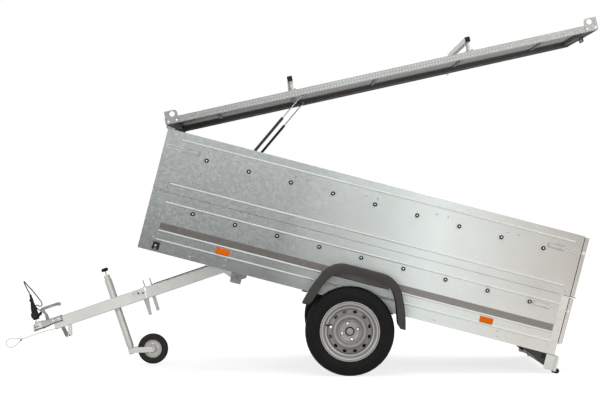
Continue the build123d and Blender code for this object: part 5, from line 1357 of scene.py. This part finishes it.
# -------------------- lid
LID_HEM = 14                       # how far the rim's lower edge is turned in
bottom, top = LID_RIM_Z
form = Form()
form.block(LID_X, (-LID_HALF_WIDTH, LID_HALF_WIDTH), (top - LID_SHEET, top))
for _, side in SIDES:
    form.block(LID_X, span(side, LID_HALF_WIDTH - LID_SHEET, LID_HALF_WIDTH), (bottom, top - 1))
    form.block((LID_X[0] + 1, LID_X[1] - 1),
               span(side, LID_HALF_WIDTH - LID_HEM, LID_HALF_WIDTH - 1), (bottom, bottom + 2))
for x in ((LID_X[0], LID_X[0] + LID_SHEET), (LID_X[1] - LID_SHEET, LID_X[1])):
    form.block(x, (-LID_HALF_WIDTH + 1, LID_HALF_WIDTH - 1), (bottom, top - 1))
# faces inside the lid take the darker inner finish: painted shade
for face in form.mesh.faces:
    middle = face.calc_center_median()
    if (abs(middle.y) < LID_HALF_WIDTH - 0.5 and middle.z < top - 0.5
            and LID_X[0] + 0.5 < middle.x < LID_X[1] - 0.5):
        face.material_index = 1
piece(form, "lid_sheet", LID_SEAT, "lid", (lid_plate, shaded_lid_inner), ("lid",), edge=0.8)

TREAD_PITCH = 24
TREAD_RISE = 1.2
TREAD_HALF = (10, 3.4)             # half length and half width of one raised bar
RIDGE_SHARE = 0.55                 # of its half length, along its top
RIM_TREAD_PITCH = 19


def lozenge(form, centre, along, across, up, tilt, size):
    """One raised bar of the tread pattern on a face."""
    centre, along, across, up = (Vector(v) for v in (centre, along, across, up))
    a = along * cos(tilt) + across * sin(tilt)
    b = across * cos(tilt) - along * sin(tilt)
    long, wide = a * size * TREAD_HALF[0], b * size * TREAD_HALF[1]
    east, north, west, south = form.points([centre + long, centre + wide, centre - long,
                                            centre - wide])
    rise = up * TREAD_RISE
    first, last = form.points([centre + long * RIDGE_SHARE + rise,
                               centre - long * RIDGE_SHARE + rise])
    for corners in ((east, north, first), (north, west, last), (north, last, first),
                    (west, south, last), (south, east, first), (south, first, last),
                    (east, south, west, north)):
        form.face(corners)


def tread(form, origin, along, across, up, lengths, inset=6, pitch=TREAD_PITCH):
    """The tread pattern over a rectangle, each bar turned a quarter from its neighbours."""
    origin, along, across = Vector(origin), Vector(along), Vector(across)
    columns = int((lengths[0] - 2 * inset) // pitch)
    rows = int((lengths[1] - 2 * inset) // pitch) or 1
    lead = (lengths[0] - (columns - 1) * pitch) / 2
    rise = (lengths[1] - (rows - 1) * pitch) / 2
    for i in range(columns):
        for j in range(rows):
            spot = origin + along * (lead + i * pitch) + across * (rise + j * pitch)
            tilt = radians(45 if (i + j) % 2 else -45)
            lozenge(form, spot, along, across, up, tilt, pitch / TREAD_PITCH)


lid_length, lid_width, rim_height = LID_X[1] - LID_X[0], 2 * LID_HALF_WIDTH, top - bottom
form = Form()
for _, side in SIDES:
    tread(form, (LID_X[0], side * LID_HALF_WIDTH, bottom), REARWARD, UP, (0, side, 0),
          (lid_length, rim_height), 0, RIM_TREAD_PITCH)
for x, outward in ((LID_X[0], FORWARD), (LID_X[1], REARWARD)):
    tread(form, (x, -LID_HALF_WIDTH, bottom), (0, 1, 0), UP, outward, (lid_width, rim_height),
          0, RIM_TREAD_PITCH)
piece(form, "lid_rim_tread", LID_SEAT, "lid", tread_highlight, crease=20)
form = Form()
tread(form, (LID_X[0], -LID_HALF_WIDTH, top), REARWARD, (0, 1, 0), UP, (lid_length, lid_width))
piece(form, "lid_top_tread", LID_SEAT, "lid", lid_plate, crease=20)

ROOF_BAR_HALF = 16                 # half its section's width
ROOF_BAR_REACH = 633               # half its length, without the end caps
BAR_SLOT_HALVES = (5, 9)           # the slot along its top: its mouth, and its inside
FOOT_Y = (560, 592)
FOOT_PAD = 5
low, high = ROOF_BAR_Z
mouth, inside = BAR_SLOT_HALVES
rear_half = [(ROOF_BAR_HALF - 2, low), (ROOF_BAR_HALF, low + 2), (ROOF_BAR_HALF, high - 2),
             (ROOF_BAR_HALF - 2, high), (mouth, high), (mouth, high - 3), (inside, high - 3),
             (inside, high - 9)]
front_half = [(-x, z) for x, z in reversed(rear_half)]
profile = front_half[-2:] + rear_half + front_half[:-2]
form = Form()
for bar_x in ROOF_BAR_X:
    form.paint = 0
    form.plate_xz([(bar_x + x, z) for x, z in profile], (-ROOF_BAR_REACH, ROOF_BAR_REACH))
    for _, side in SIDES:
        foot_y = span(side, *FOOT_Y)
        form.paint = 0
        form.block((bar_x - 6, bar_x + 12), span(side, FOOT_Y[0], FOOT_Y[0] + 4), (top + 2, low))
        form.block((bar_x - 12, bar_x + 12), foot_y, (low - 4, low))
        form.block((bar_x - 24, bar_x + 24), span(side, 545, 607), (top, top + FOOT_PAD))
        form.paint = 1
        form.block((bar_x - 12, bar_x - 6), foot_y, (top + 2, low))
        for bolt_x in (bar_x - 18, bar_x + 18):
            form.hex_bolt((bolt_x, side * 600, top + FOOT_PAD), UP, 10, 4, 6)
piece(form, "load_bars", LID_SEAT, "lid", (frame_zinc, dull_zinc), ("roof_bars",), edge=0.4)

form = Form()
for bar_x in ROOF_BAR_X:
    for _, side in SIDES:
        end = box_outline((bar_x - ROOF_BAR_HALF, bar_x + ROOF_BAR_HALF), ROOF_BAR_Z)
        form.plate_xz(rounded(end, 4), span(side, ROOF_BAR_REACH, ROOF_BAR_REACH + 7.5))
        form.block((bar_x - 13, bar_x + 13), span(side, ROOF_BAR_REACH - 13, ROOF_BAR_REACH + 1),
                   (low + 3, high - 10))
piece(form, "load_bar_caps", LID_SEAT, "lid", black_plastic, ("roof_bar_caps",), edge=1.2)

EYELETS = ((37, 1), (2700, -1))    # middle x, and which way the lid's middle lies
EYELET_HALF, EYELET_Z = 40.5, (16, 97)
EYELET_DEPTH = (LID_HALF_WIDTH + 0.5, LID_HALF_WIDTH + 5.5)
form = Form()
for _, side in SIDES:
    for eyelet_x, inward in EYELETS:
        outline = box_outline([eyelet_x + way * inward * EYELET_HALF for way in (-1, 1)], EYELET_Z)
        form.paint = 0
        form.plate_xz(rounded(outline, [3, 3, 24, 3], 8), span(side, *EYELET_DEPTH),
                      (circle(eyelet_x + inward * 6, 74, 17, 32),))
        form.paint = 1
        for bolt_x in (eyelet_x - 26, eyelet_x + 26):
            form.lathe([(0, 0), (6, 0), (5.5, 0.45), (0, 0.5)],
                       (bolt_x, side * EYELET_DEPTH[1], 32), (0, side, 0), 20)
piece(form, "lashing_eyelets", LID_SEAT, "lid", (lid_plate, bright_zinc), ("lid_eyelets",),
      edge=0.6)

LOCK_PLATE_X = (LID_X[1] - 9, LID_X[1] - 3)
LOCK_STAPLE = ((2730, -16, -8), (2730, -15, -9.5), (2730, 15, -9.5), (2730, 16, -8))
form = Form()
form.block(LOCK_PLATE_X, (-72, 72), (-8, 30))
form.paint = 1
for y in (-40, 40):
    form.hex_bolt((LOCK_PLATE_X[0], y, 6), FORWARD, 13, 6, 11)
form.bent_rod(smooth_run(LOCK_STAPLE, 4), 2, 8)
form.block((1878, 1892), (600, 628), (4, 14))
piece(form, "lid_lock_plate", LID_SEAT, "lid", (shaded_lid_underside, bright_zinc), edge=0.4)

# -------------------- gas struts
STRUT_CYLINDER_LENGTH = 313
STRUT_ROD_START = 262              # how deep the rod's inner end sits in the cylinder
STRUT_CYLINDER = (                 # radius, distance from the lower pin
    (0, 9), (6, 9), (6.5, 18), (9, 20), (9, 307), (8, 312), (6, STRUT_CYLINDER_LENGTH),
    (4.3, STRUT_CYLINDER_LENGTH), (4.3, STRUT_ROD_START), (0, STRUT_ROD_START))


def strut_eye(form, x, y, bore):
    """The eye at a strut's end, turned about its pin."""
    form.lathe([(bore, -5), (8.4, -5), (9, -4), (9, 4), (8.4, 5), (bore, 5)], (x, y, 0),
               (0, 1, 0), 28, closed=True)


for side_name, side in SIDES:
    y = side * STRUT_Y
    form = Form()
    form.lathe(STRUT_CYLINDER, (0, y, 0), REARWARD, 32)
    form.paint = 1
    strut_eye(form, 0, y, 4.1)
    piece(form, f"strut_body_{side_name}", STRUT_SEAT, f"strut_cylinder_{side_name}",
          (strut_black, dull_zinc), (f"strut_cylinder_{side_name}",))
    form = Form()
    form.rod((STRUT_ROD_START, y, 0), (STRUT_LENGTH - 12, y, 0), 4, 20)
    form.paint = 1
    form.disc(6.5, 8, (0, y, 0), REARWARD, 20, base=STRUT_LENGTH - 16)
    strut_eye(form, STRUT_LENGTH, y, 4.4)
    piece(form, f"strut_piston_{side_name}", STRUT_SEAT, f"strut_rod_{side_name}",
          (rod_chrome, dull_zinc), (f"strut_rod_{side_name}",))

# -------------------- drawbar and coupling
dress("drawbar", frame_zinc, 0.0)

COUPLING_REAR_X = -1162
COUPLING_TOP = ((-1365, 93), (-1362, 120), (-1355, 138), (-1340, 148), (-1320, 151), (-1295, 148),
                (-1275, 143), (COUPLING_REAR_X, 143))
COUPLING_BOTTOM = ((-1365, 93), (-1285, 93), (-1225, 101), (COUPLING_REAR_X, 101))
COUPLING_STATIONS = (-1363.6, -1362, -1360, -1357, -1353, -1348, -1342, -1335, -1328, -1320, -1310,
                     -1300, -1294, -1285, -1275, -1250, BAR_FRONT_X, -1195, COUPLING_REAR_X)
COUPLING_SHARES = (                # share of half width, share of height
    (1, 0), (0.996, 0.10), (0.94, 0.13), (0.94, 0.19), (1, 0.22), (1, 0.66), (0.97, 0.80),
    (0.88, 0.92), (0.72, 0.985), (0.4, 1))
COUPLING_HALF = 33                 # half its width along the bar, and its nose's radius
COUPLING_NOSE_RADIUS = 40
NOSE_END_X = -1302.4
SOCKET_PLACE = (SOCKET_X, 0, 119)
SOCKET_HOLLOW = (                  # radius, height over the ball's middle
    (0, -60), (SOCKET_RADIUS, -60), (SOCKET_RADIUS, 0), (24, 9), (19, 17), (10, 23.5), (0, 25.5))
BAR_ROOM = 0.4                     # how far the shell bites into the bar all round


def level_at(line, x):
    """Height of a line of points at a place along x."""
    for (near_x, near_z), (far_x, far_z) in zip(line, line[1:]):
        if near_x <= x <= far_x:
            return near_z + (far_z - near_z) * (x - near_x) / (far_x - near_x)
    return line[-1][1]


form = Form()
rings = []
for x in COUPLING_STATIONS:
    nose = sqrt(max(COUPLING_NOSE_RADIUS ** 2 - (x - SOCKET_X) ** 2, 1))
    half = COUPLING_HALF if x > NOSE_END_X else nose
    low, high = level_at(COUPLING_BOTTOM, x), level_at(COUPLING_TOP, x)
    right = [(x, half * across, low + (high - low) * up) for across, up in COUPLING_SHARES]
    rings.append(form.points([(x, -y, z) for x, y, z in right] + right[::-1]))
count = len(rings[0])
for k, (near, far) in enumerate(zip(rings, rings[1:])):
    for i in range(count):
        j = (i + 1) % count
        groove = i in (1, 2, 3, count - 3, count - 4, count - 5)
        form.paint = 2 if groove else (0 if COUPLING_STATIONS[k] > NOSE_END_X - 0.6 else 3)
        form.face((near[i], near[j], far[j], far[i]))
form.paint = 3
form.face(list(reversed(rings[0])))
form.paint = 0
form.face(rings[-1])
shell = piece(form, "coupling_shell", DRAWBAR_SEAT, "drawbar",
              (cast_zinc, bright_zinc, black_plastic, frame_zinc), ("coupling_head",))
cutters = Form()
cutters.lathe(SOCKET_HOLLOW, SOCKET_PLACE, UP, 40)
cutters.block((BAR_FRONT_X + 0.2, -1100), (BAR_ROOM - BAR_HALF_WIDTH, BAR_HALF_WIDTH - BAR_ROOM),
              (60, BAR_Z[1] - BAR_ROOM))
cut_away(shell, cutters, "coupling_cutter", 42)

form = Form()
for _, side in SIDES:
    for x, z in ((-1220, 123), (-1182, 122)):
        form.hex_bolt((x, side * 32.6, z), (0, side, 0), 15, 6, 10)
form.lathe([(0, 0), (5, 0), (5, 1.5), (0, 2)], (SOCKET_X - 2, -16, 150), UP, 16)
form.paint = 1
form.block((-1350, -1318), (-40.4, -38.4), (119, 122.5))
form.block((COUPLING_REAR_X - 0.5, COUPLING_REAR_X + 1), (-34, 34), (101, 143.4))
piece(form, "coupling_bolts", DRAWBAR_SEAT, "drawbar", (bright_zinc, black_plastic), edge=0.3)

LEVER = (                          # place along x, height, radius of the corner
    (-1268, 143, 0), (-1245, 143, 0), (-1244, 172, 12), (-1252, 192, 16), (-1257, 210, 5),
    (-1168, 212, 8), (-1152, 201, 6), (-1141, 207, 7), (-1139, 220, 7), (-1156, 229, 8),
    (-1268, 229, 10), (-1284, 220, 8), (-1283, 206, 8), (-1268, 193, 16), (-1264, 172, 14))
GRIP_RIBS, GRIP_START_X, GRIP_PITCH = 6, -1244, 14
form = Form()
lever, corners = [place[:2] for place in LEVER], [place[2] for place in LEVER]
form.plate_xz(rounded(lever, corners, 5), (-8.5, 8.5))
form.paint = 1
for k in range(GRIP_RIBS):
    x = GRIP_START_X + k * GRIP_PITCH
    form.block((x - 3, x + 3), (-9, 9), (209, 214))
piece(form, "coupling_grip", DRAWBAR_SEAT, "drawbar", (dull_zinc, black_plastic),
      ("coupling_handle",), edge=1.4)

STATION_X = -580                   # the tilt latch's middle along the bar
LATCH_Y, LATCH_PIN_Z = -30, 114
LATCH_PLATE = ((-30, -22), (-12, -40), (14, -46), (31, -30), (33, 4), (24, 25), (-10, 32),
               (-28, 24))          # from the latch's middle
PULL_RING = (-655.5, 118)
form = Form()
form.plate_xz(rounded([(STATION_X + x, LATCH_PIN_Z + z) for x, z in LATCH_PLATE], 9, 4),
              (LATCH_Y, -BAR_HALF_WIDTH))
form.paint = 1
form.plate_xz([(-585, 148), (-573, 148), (-589, 67), (-601, 67)], (LATCH_Y - 3, LATCH_Y))
form.rod((-636, LATCH_Y, LATCH_PIN_Z), (STATION_X - 12, LATCH_Y, LATCH_PIN_Z), 4.6, 16, 0.8)
ring = [(PULL_RING[0] + 18 * x, LATCH_Y + 15 * z, PULL_RING[1] - 6 * z)
        for x, z in circle(0, 0, 1, 28)]
form.bent_rod(ring, 1.9, 10, loop=True)
form.paint = 2
form.lathe([(0, 0), (6.5, 0), (6.5, 3), (5, 4), (0, 4)], (-604, LATCH_Y, 108), (0, -1, 0), 20)
form.rod((-638, LATCH_Y, LATCH_PIN_Z), (-629, LATCH_Y, LATCH_PIN_Z), 5.6, 16, 1)
piece(form, "tilt_latch", DRAWBAR_SEAT, "drawbar", (frame_zinc, bright_zinc, strut_black),
      ("latch_bracket",), edge=0.5)


def toothed(near, far, pitch, depth):
    """A run of small teeth between two points, standing out to the right of the way it goes."""
    near, far = Vector(near), Vector(far)
    count = int((far - near).length / pitch)
    step = (far - near) / count
    out = Vector((step.y, -step.x)).normalized() * depth
    made = []
    for k in range(count):
        made += [tuple(near + step * k), tuple(near + step * (k + 0.5) - out)]
    return made + [tuple(far)]


TIES = (                           # front and rear x at the bar, front and rear x and z at the foot
    (-616, -584, -615, -599, -46),
    (-557, -537, -558, -539, -34))
TIE_Y = (-11.5, 7.5)
TOOTH_PITCH = 8
STUDS_X = (-582, -536)
STUD_TURNS = 24
form = Form()
bar_low, bar_top = BAR_Z
for front_x, rear_x, front_foot_x, rear_foot_x, foot_z in TIES:
    rear_edge = toothed((rear_x, bar_low), (rear_foot_x, foot_z), TOOTH_PITCH, 3)
    front_edge = toothed((front_foot_x, foot_z), (front_x, bar_low), TOOTH_PITCH, 2)
    form.plate_xz([(front_x, bar_low), *rear_edge, *front_edge[:-1]], TIE_Y)
thread = [(radius, 2 * k + rise) for k in range(STUD_TURNS) for radius, rise in ((4, 0), (3.2, 1))]
for stud_x in STUDS_X:
    seat_place = (stud_x, 0, bar_top)
    form.lathe([(0, 0), *thread, (0, 2 * STUD_TURNS)], seat_place, UP, 16)
    form.paint = 1
    form.disc(10, 1.6, seat_place, UP)
    form.disc(7.5, 6.4, seat_place, UP, 6, base=1.6)
    form.paint = 0
piece(form, "stop_ties", DRAWBAR_SEAT, "drawbar", (hub_plastic, bright_zinc), ("tie_bolts",),
      crease=20)

FRONT_LUG = ((-1188, 63), (-1167, 63), (-1157, 5), (-1164, -7), (-1180, -4))
REAR_LUG = ((-1142, 63), (-1115, 63), (-1138, -10), (-1164, -7), (-1160, 5))
form = Form()
form.plate_xz(rounded(FRONT_LUG, [0, 0, 4, 4, 8]), (-14, 14))
form.paint = 1
form.plate_xz(rounded(REAR_LUG, [0, 0, 6, 4, 4]), (-18, 18))
form.paint = 2
form.rod((-1150, -18.6, 0), (-1150, 18.6, 0), 5, 16, 0.6)
piece(form, "cable_lug", DRAWBAR_SEAT, "drawbar", (skirt_grey, frame_zinc, black_plastic),
      ("lower_bracket",), edge=0.6)

WIRE_RUN = ((-520, -6, 142.4), (-440, -8, 142.6), (-360, -10, 142.6), (-280, -8, 142.6),
            (-215, -8, 142.8), (-150, -4, 142.4))
form = Form()
form.bent_rod(smooth_run(WIRE_RUN, 5), 2.6, 10)
piece(form, "bar_wiring", DRAWBAR_SEAT, "drawbar", lead_sheath, ("drawbar_cable",))

# -------------------- jockey wheel
JOCKEY_TUBE_TOP = 264
JOCKEY_TUBE = (                    # radius, height from the bar frame's level
    (20.2, -198), (23.2, -200), (24, -199), (24, JOCKEY_TUBE_TOP - 3), (23, JOCKEY_TUBE_TOP),
    (19, JOCKEY_TUBE_TOP), (19, JOCKEY_TUBE_TOP - 10), (20.2, JOCKEY_TUBE_TOP - 20))
JOCKEY_CAP = ((0, 262), (18.6, 262), (19.8, 265), (20, 267), (20, 290), (18.6, 293), (9, 293.4),
              (0, 293.4))
JOCKEY_KNOB = ((0, 320), (17, 320), (20.4, 322), (22, 326), (22, 336), (20.4, 340), (17, 341.8),
               (0, 342))
KNOB_GRIPS, KNOB_GRIP_RADIUS = 12, 20.4
axle_x, axle_z = jockey_axle_x, jockey_axle_z
crown_z = (SWIVEL_Z - 30, SWIVEL_Z + 7.7)
jockey_middle = (JOCKEY_X, JOCKEY_Y, 0)

form = Form()
form.lathe(JOCKEY_TUBE, jockey_middle, UP, 48, closed=True)
form.rod((JOCKEY_X, JOCKEY_Y, SWIVEL_Z + 8.4), (JOCKEY_X, JOCKEY_Y, -150), 20, 40, 0.8)
form.rod((JOCKEY_X, JOCKEY_Y, SWIVEL_Z - 14), (JOCKEY_X, JOCKEY_Y, SWIVEL_Z + 9), 7.8, 20)
piece(form, "jockey_tubes", DRAWBAR_SEAT, "jockey_leg", frame_zinc, ("jockey_tube",))

form = Form()
form.lathe(JOCKEY_CAP, jockey_middle, UP, 40)
form.paint = 1
form.rod((JOCKEY_X, JOCKEY_Y, 292), (JOCKEY_X, JOCKEY_Y, 322), 5, 20)
form.paint = 2
form.lathe(JOCKEY_KNOB, jockey_middle, UP, 36)
for x, y in circle(JOCKEY_X, JOCKEY_Y, KNOB_GRIP_RADIUS, KNOB_GRIPS):
    form.rod((x, y, 324), (x, y, 338), 1.6, 8, 0.4)
piece(form, "jockey_winder", DRAWBAR_SEAT, "jockey_leg", (frame_zinc, bright_zinc, grip_rubber),
      ("jockey_crank",))

YOKE_CORNERS = (5, 9, 10, 8, 9, 12, 9, 8)
YOKE_Y = (34, 38)                  # the two faces of a cheek, from the wheel's middle plane
cheek = [(JOCKEY_X - 16, crown_z[1]), (JOCKEY_X + 26, crown_z[1]), (axle_x - 1, axle_z + 15),
         (axle_x + 9, axle_z + 7), (axle_x + 8, axle_z - 11), (axle_x - 4, axle_z - 20),
         (JOCKEY_X + 10, crown_z[0] + 4), (JOCKEY_X - 16, crown_z[0] + 10)]
form = Form()
for _, side in SIDES:
    form.plate_xz(rounded(cheek, YOKE_CORNERS, 5), [JOCKEY_Y + v for v in span(side, *YOKE_Y)])
crown = box_outline((JOCKEY_X - 16, JOCKEY_X + 20), (JOCKEY_Y - 37, JOCKEY_Y + 37))
form.plate_xy(rounded(crown, 5), (crown_z[1] - 6, crown_z[1]),
              (circle(JOCKEY_X, JOCKEY_Y, 8.2, 20),))
form.lathe([(8.3, crown_z[0]), (22, crown_z[0]), (24, crown_z[0] + 2), (24, crown_z[1] - 1),
            (8.3, crown_z[1] - 1)], jockey_middle, UP, 36, closed=True)
form.paint = 1
form.rod((axle_x, JOCKEY_Y - 41, axle_z), (axle_x, JOCKEY_Y + 41, axle_z), 7.6, 20, 0.6)
for _, side in SIDES:
    form.lathe([(0, 0), (10.4, 0), (10.4, 3.2), (0, 3.6)],
               (axle_x, JOCKEY_Y + side * YOKE_Y[1], axle_z), (0, side, 0), 6)
form.paint = 2
for _, side in SIDES:
    form.dome((axle_x, JOCKEY_Y + side * 41.6, axle_z), (0, side, 0), 4.4, 0.8)
piece(form, "jockey_yoke", DRAWBAR_SEAT, "jockey_fork", (frame_zinc, bright_zinc, black_plastic),
      ("jockey_fork",), edge=0.6)

HALF_HUB = (                       # radius, distance from the wheel's middle plane
    (8.2, 33), (17, 33), (19.4, 31), (20, 22), (24, 16), (27, 15), (29, 17.5), (31, 15),
    (42, 13.4), (45, 15.4), (48, 13.8), (53, 18), (56, 24), (58, 25.6), (59.6, 24))
HALF_TYRE = ((59, 25), (63, 27.5), (70, 28.6), (82, 29), (90, 27.6), (96, 23), (99, 15),
             (JOCKEY_RADIUS, 6))
HUB_RIVETS, HUB_RIVET_RADIUS = 5, 36.5


def jockey_turning(form, half_section):
    """A closed ring about the jockey wheel's axle, the same on both sides of its middle plane."""
    form.lathe([(r, -out) for r, out in half_section] + [(r, out) for r, out in
                                                         reversed(half_section)],
               (axle_x, JOCKEY_Y, axle_z), (0, 1, 0), 72, closed=True)


form = Form()
jockey_turning(form, HALF_HUB)
form.paint = 1
for x, z in circle(axle_x, axle_z, HUB_RIVET_RADIUS, HUB_RIVETS):
    for _, side in SIDES:
        form.lathe([(0, 0), (4.2, 0), (4.2, 1.2), (0, 1.8)], (x, JOCKEY_Y + side * 14, z),
                   (0, side, 0), 12)
piece(form, "jockey_wheel_hub", DRAWBAR_SEAT, "jockey_wheel", (hub_plastic, bright_zinc),
      ("jockey_hub",))
form = Form()
jockey_turning(form, HALF_TYRE)
piece(form, "jockey_wheel_tyre", DRAWBAR_SEAT, "jockey_wheel", jockey_rubber, ("jockey_tyre",))

# -------------------- plug, its holder and the cords' fittings
PLUG_PROFILE = (                   # radius, distance from the plug's foot
    (0, 0), (18, 0), (20, 1.5), (21, 5), (24.4, 8), (25, 11), (25, 28), (24, 30), (22.6, 33),
    (22.6, 38), (21.8, 42), (20.8, 46), (19.6, 60), (19, 75), (17, 86), (15, 95), (13.2, 103),
    (12, 110), (11.4, 124), (11, 136), (9.4, 139), (8.5, 141), (8.5, 147), (7.6, 148.5),
    (7.6, 153), (8.2, 154.5), (7.2, 160), (6.4, 165), (3.6, 165.8), (0, 165.8))
PLUG_FINS = (                      # outline away from the axis and up along it, corner, half depth
    (((20, 30), (44, 44), (48, 38), (42, 18), (22, 12)), 4, 6),
    (((-20, 46), (-27, 40), (-28, 14), (-22, 10)), 4, 8),
    (((-9, 118), (-15.5, 121), (-15.5, 131), (-9, 135)), 2, 4))
GRIP_FLUTES = 14
plug_top, plug_foot = Vector(PLUG_CABLE_ROUTE[-1]), Vector((-2037.1, 0, 298.5))
plug_axis = (plug_top - plug_foot).normalized()
sideways = Vector((0, 1, 0))
across = plug_axis.cross(sideways).normalized()
if across.x < 0:
    across = -across
form = Form()
form.lathe(PLUG_PROFILE, plug_foot, plug_axis, 48)
for x, y in circle(0, 0, 1, GRIP_FLUTES):
    out = across * x + sideways * y
    start = plug_foot + plug_axis * 48 + out * 19.6
    form.rod(start, start + plug_axis * 26 - out * 1.2, 1.5, 8)
for outline, corner, half in PLUG_FINS:
    form.prism(rounded(outline, corner), -half, half,
               lambda a, b, depth: tuple(plug_foot + across * a + plug_axis * b + sideways * depth))
lead_plug = piece(form, "trailer_plug", GROUND_SEAT, "drawbar", black_plastic, ("plug",))

HOLDER_FOOT = (-2044, 268)
form = Form()
form.lathe([(0, -4), (21, -4), (22, -3), (22, -0.4), (0, -0.4)], plug_foot, plug_axis, 36)
head = plug_foot - plug_axis * 3.8
form.paint = 1
form.strap([HOLDER_FOOT, (head.x, head.z)], 3, -9, 9)
piece(form, "plug_rest", GROUND_SEAT, "drawbar", (black_plastic, dull_zinc), ("plug_holder",),
      edge=0.5)

form = Form()
form.rod((-2138, -26.4, 157), (-2127, -32.6, 168), 5.2, 16, 1.2)
crimp_sleeve = piece(form, "rope_crimp", GROUND_SEAT, "drawbar", dull_zinc)

GLAND_PROFILE = ((3.55, -2), (7.5, -2), (7.5, 4), (6, 8), (5, 16), (4.4, 20), (3.55, 21))
lead_exit = Vector(PLUG_CABLE_ROUTE[0])
exit_run = (Vector(PLUG_CABLE_ROUTE[1]) - lead_exit).normalized()
form = Form()
form.lathe(GLAND_PROFILE, lead_exit, exit_run, 24, closed=True)
piece(form, "lead_gland", GROUND_SEAT, "drawbar", black_plastic)

for cord, finish, node, slot in ((plug_lead, lead_sheath, "plug_cable", "black_rubber"),
                                 (breakaway_rope, rope_steel, "safety_cable", "steel_rope")):
    cord.data.materials.append(finish)
    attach(cord, "drawbar")
    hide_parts(node)


# -------------------- floor, light and air
FLOOR_X, FLOOR_Y = (-60, 60), (-30, 90)
FLOOR_GLOW = 0.76                  # so that the floor looks white without more light on the trailer
AIR_LIGHT = 0.55
ground_mesh = bpy.data.meshes.new("studio_floor")
ground_mesh.from_pydata([(x, y, 0) for x, y in box_outline(FLOOR_X, FLOOR_Y)], [], [(0, 1, 2, 3)])
studio_floor = bpy.data.objects.new("studio_floor", ground_mesh)
bpy.context.scene.collection.objects.link(studio_floor)


def seen_directly(tree):
    """1 for rays that bring the surroundings straight to the eye or by a mirror or glass."""
    path = add(tree, "ShaderNodeLightPath")
    seen = path.outputs["Is Camera Ray"]
    for kind in ("Is Glossy Ray", "Is Transmission Ray"):
        seen = add(tree, "ShaderNodeMath", {0: seen, 1: path.outputs[kind]},
                   operation="MAXIMUM").outputs[0]
    return seen


floor_white, tree, shader = new_finish("floor_white")
shader.inputs["Base Color"].default_value = (0.50, 0.50, 0.50, 1)
shader.inputs["Roughness"].default_value = 1.0
shader.inputs["Specular IOR Level"].default_value = 0.0
glow = add(tree, "ShaderNodeMath", {0: seen_directly(tree), 1: FLOOR_GLOW}, operation="MULTIPLY")
tree.links.new(glow.outputs[0], shader.inputs["Emission Strength"])
shader.inputs["Emission Color"].default_value = (1, 1, 1, 1)
ground_mesh.materials.append(floor_white)

world = bpy.data.worlds.new("studio_air")
bpy.context.scene.world = world
world.use_nodes = True
tree = world.node_tree
background = tree.nodes["Background"]
background.inputs["Color"].default_value = (1, 1, 1, 1)
level = reach(tree, seen_directly(tree), 0, 1, AIR_LIGHT, 1.0)
tree.links.new(level, background.inputs["Strength"])

LAMPS = (                          # name, place, what it looks at, size, watts, tint
    ("softbox_right", (3.6, -9.5, 3.4), (0.8, 0, 0.8), 3.4, 190, (1.0, 0.965, 0.92)),
    ("softbox_left", (-5.5, -8.5, 2.6), (-0.6, 0, 0.6), 3.0, 45, (0.97, 0.985, 1.0)),
    ("softbox_front", (-1.6, -11.5, 1.4), (-0.4, 0, 0.5), 4.0, 150, (1, 1, 1)),
    ("softbox_low", (-0.8, -9.0, 0.5), (-0.5, 0, 0.4), 1.0, 32, (1, 1, 1)),
    ("softbox_top", (0.2, -0.5, 6.0), (0.2, 0, 0.5), 4.0, 90, (1, 1, 1)),
    ("softbox_back", (0.5, 7.0, 4.0), (0.2, 0, 0.8), 3.5, 100, (1, 1, 1)),
)
for name, place, aim, size, watts, tint in LAMPS:
    lamp = bpy.data.lights.new(name, "AREA")
    lamp.size, lamp.energy, lamp.color = size, watts, tint
    holder = bpy.data.objects.new(name, lamp)
    bpy.context.scene.collection.objects.link(holder)
    holder.location = place
    holder.rotation_euler = (Vector(aim) - Vector(place)).to_track_quat("-Z", "Y").to_euler()
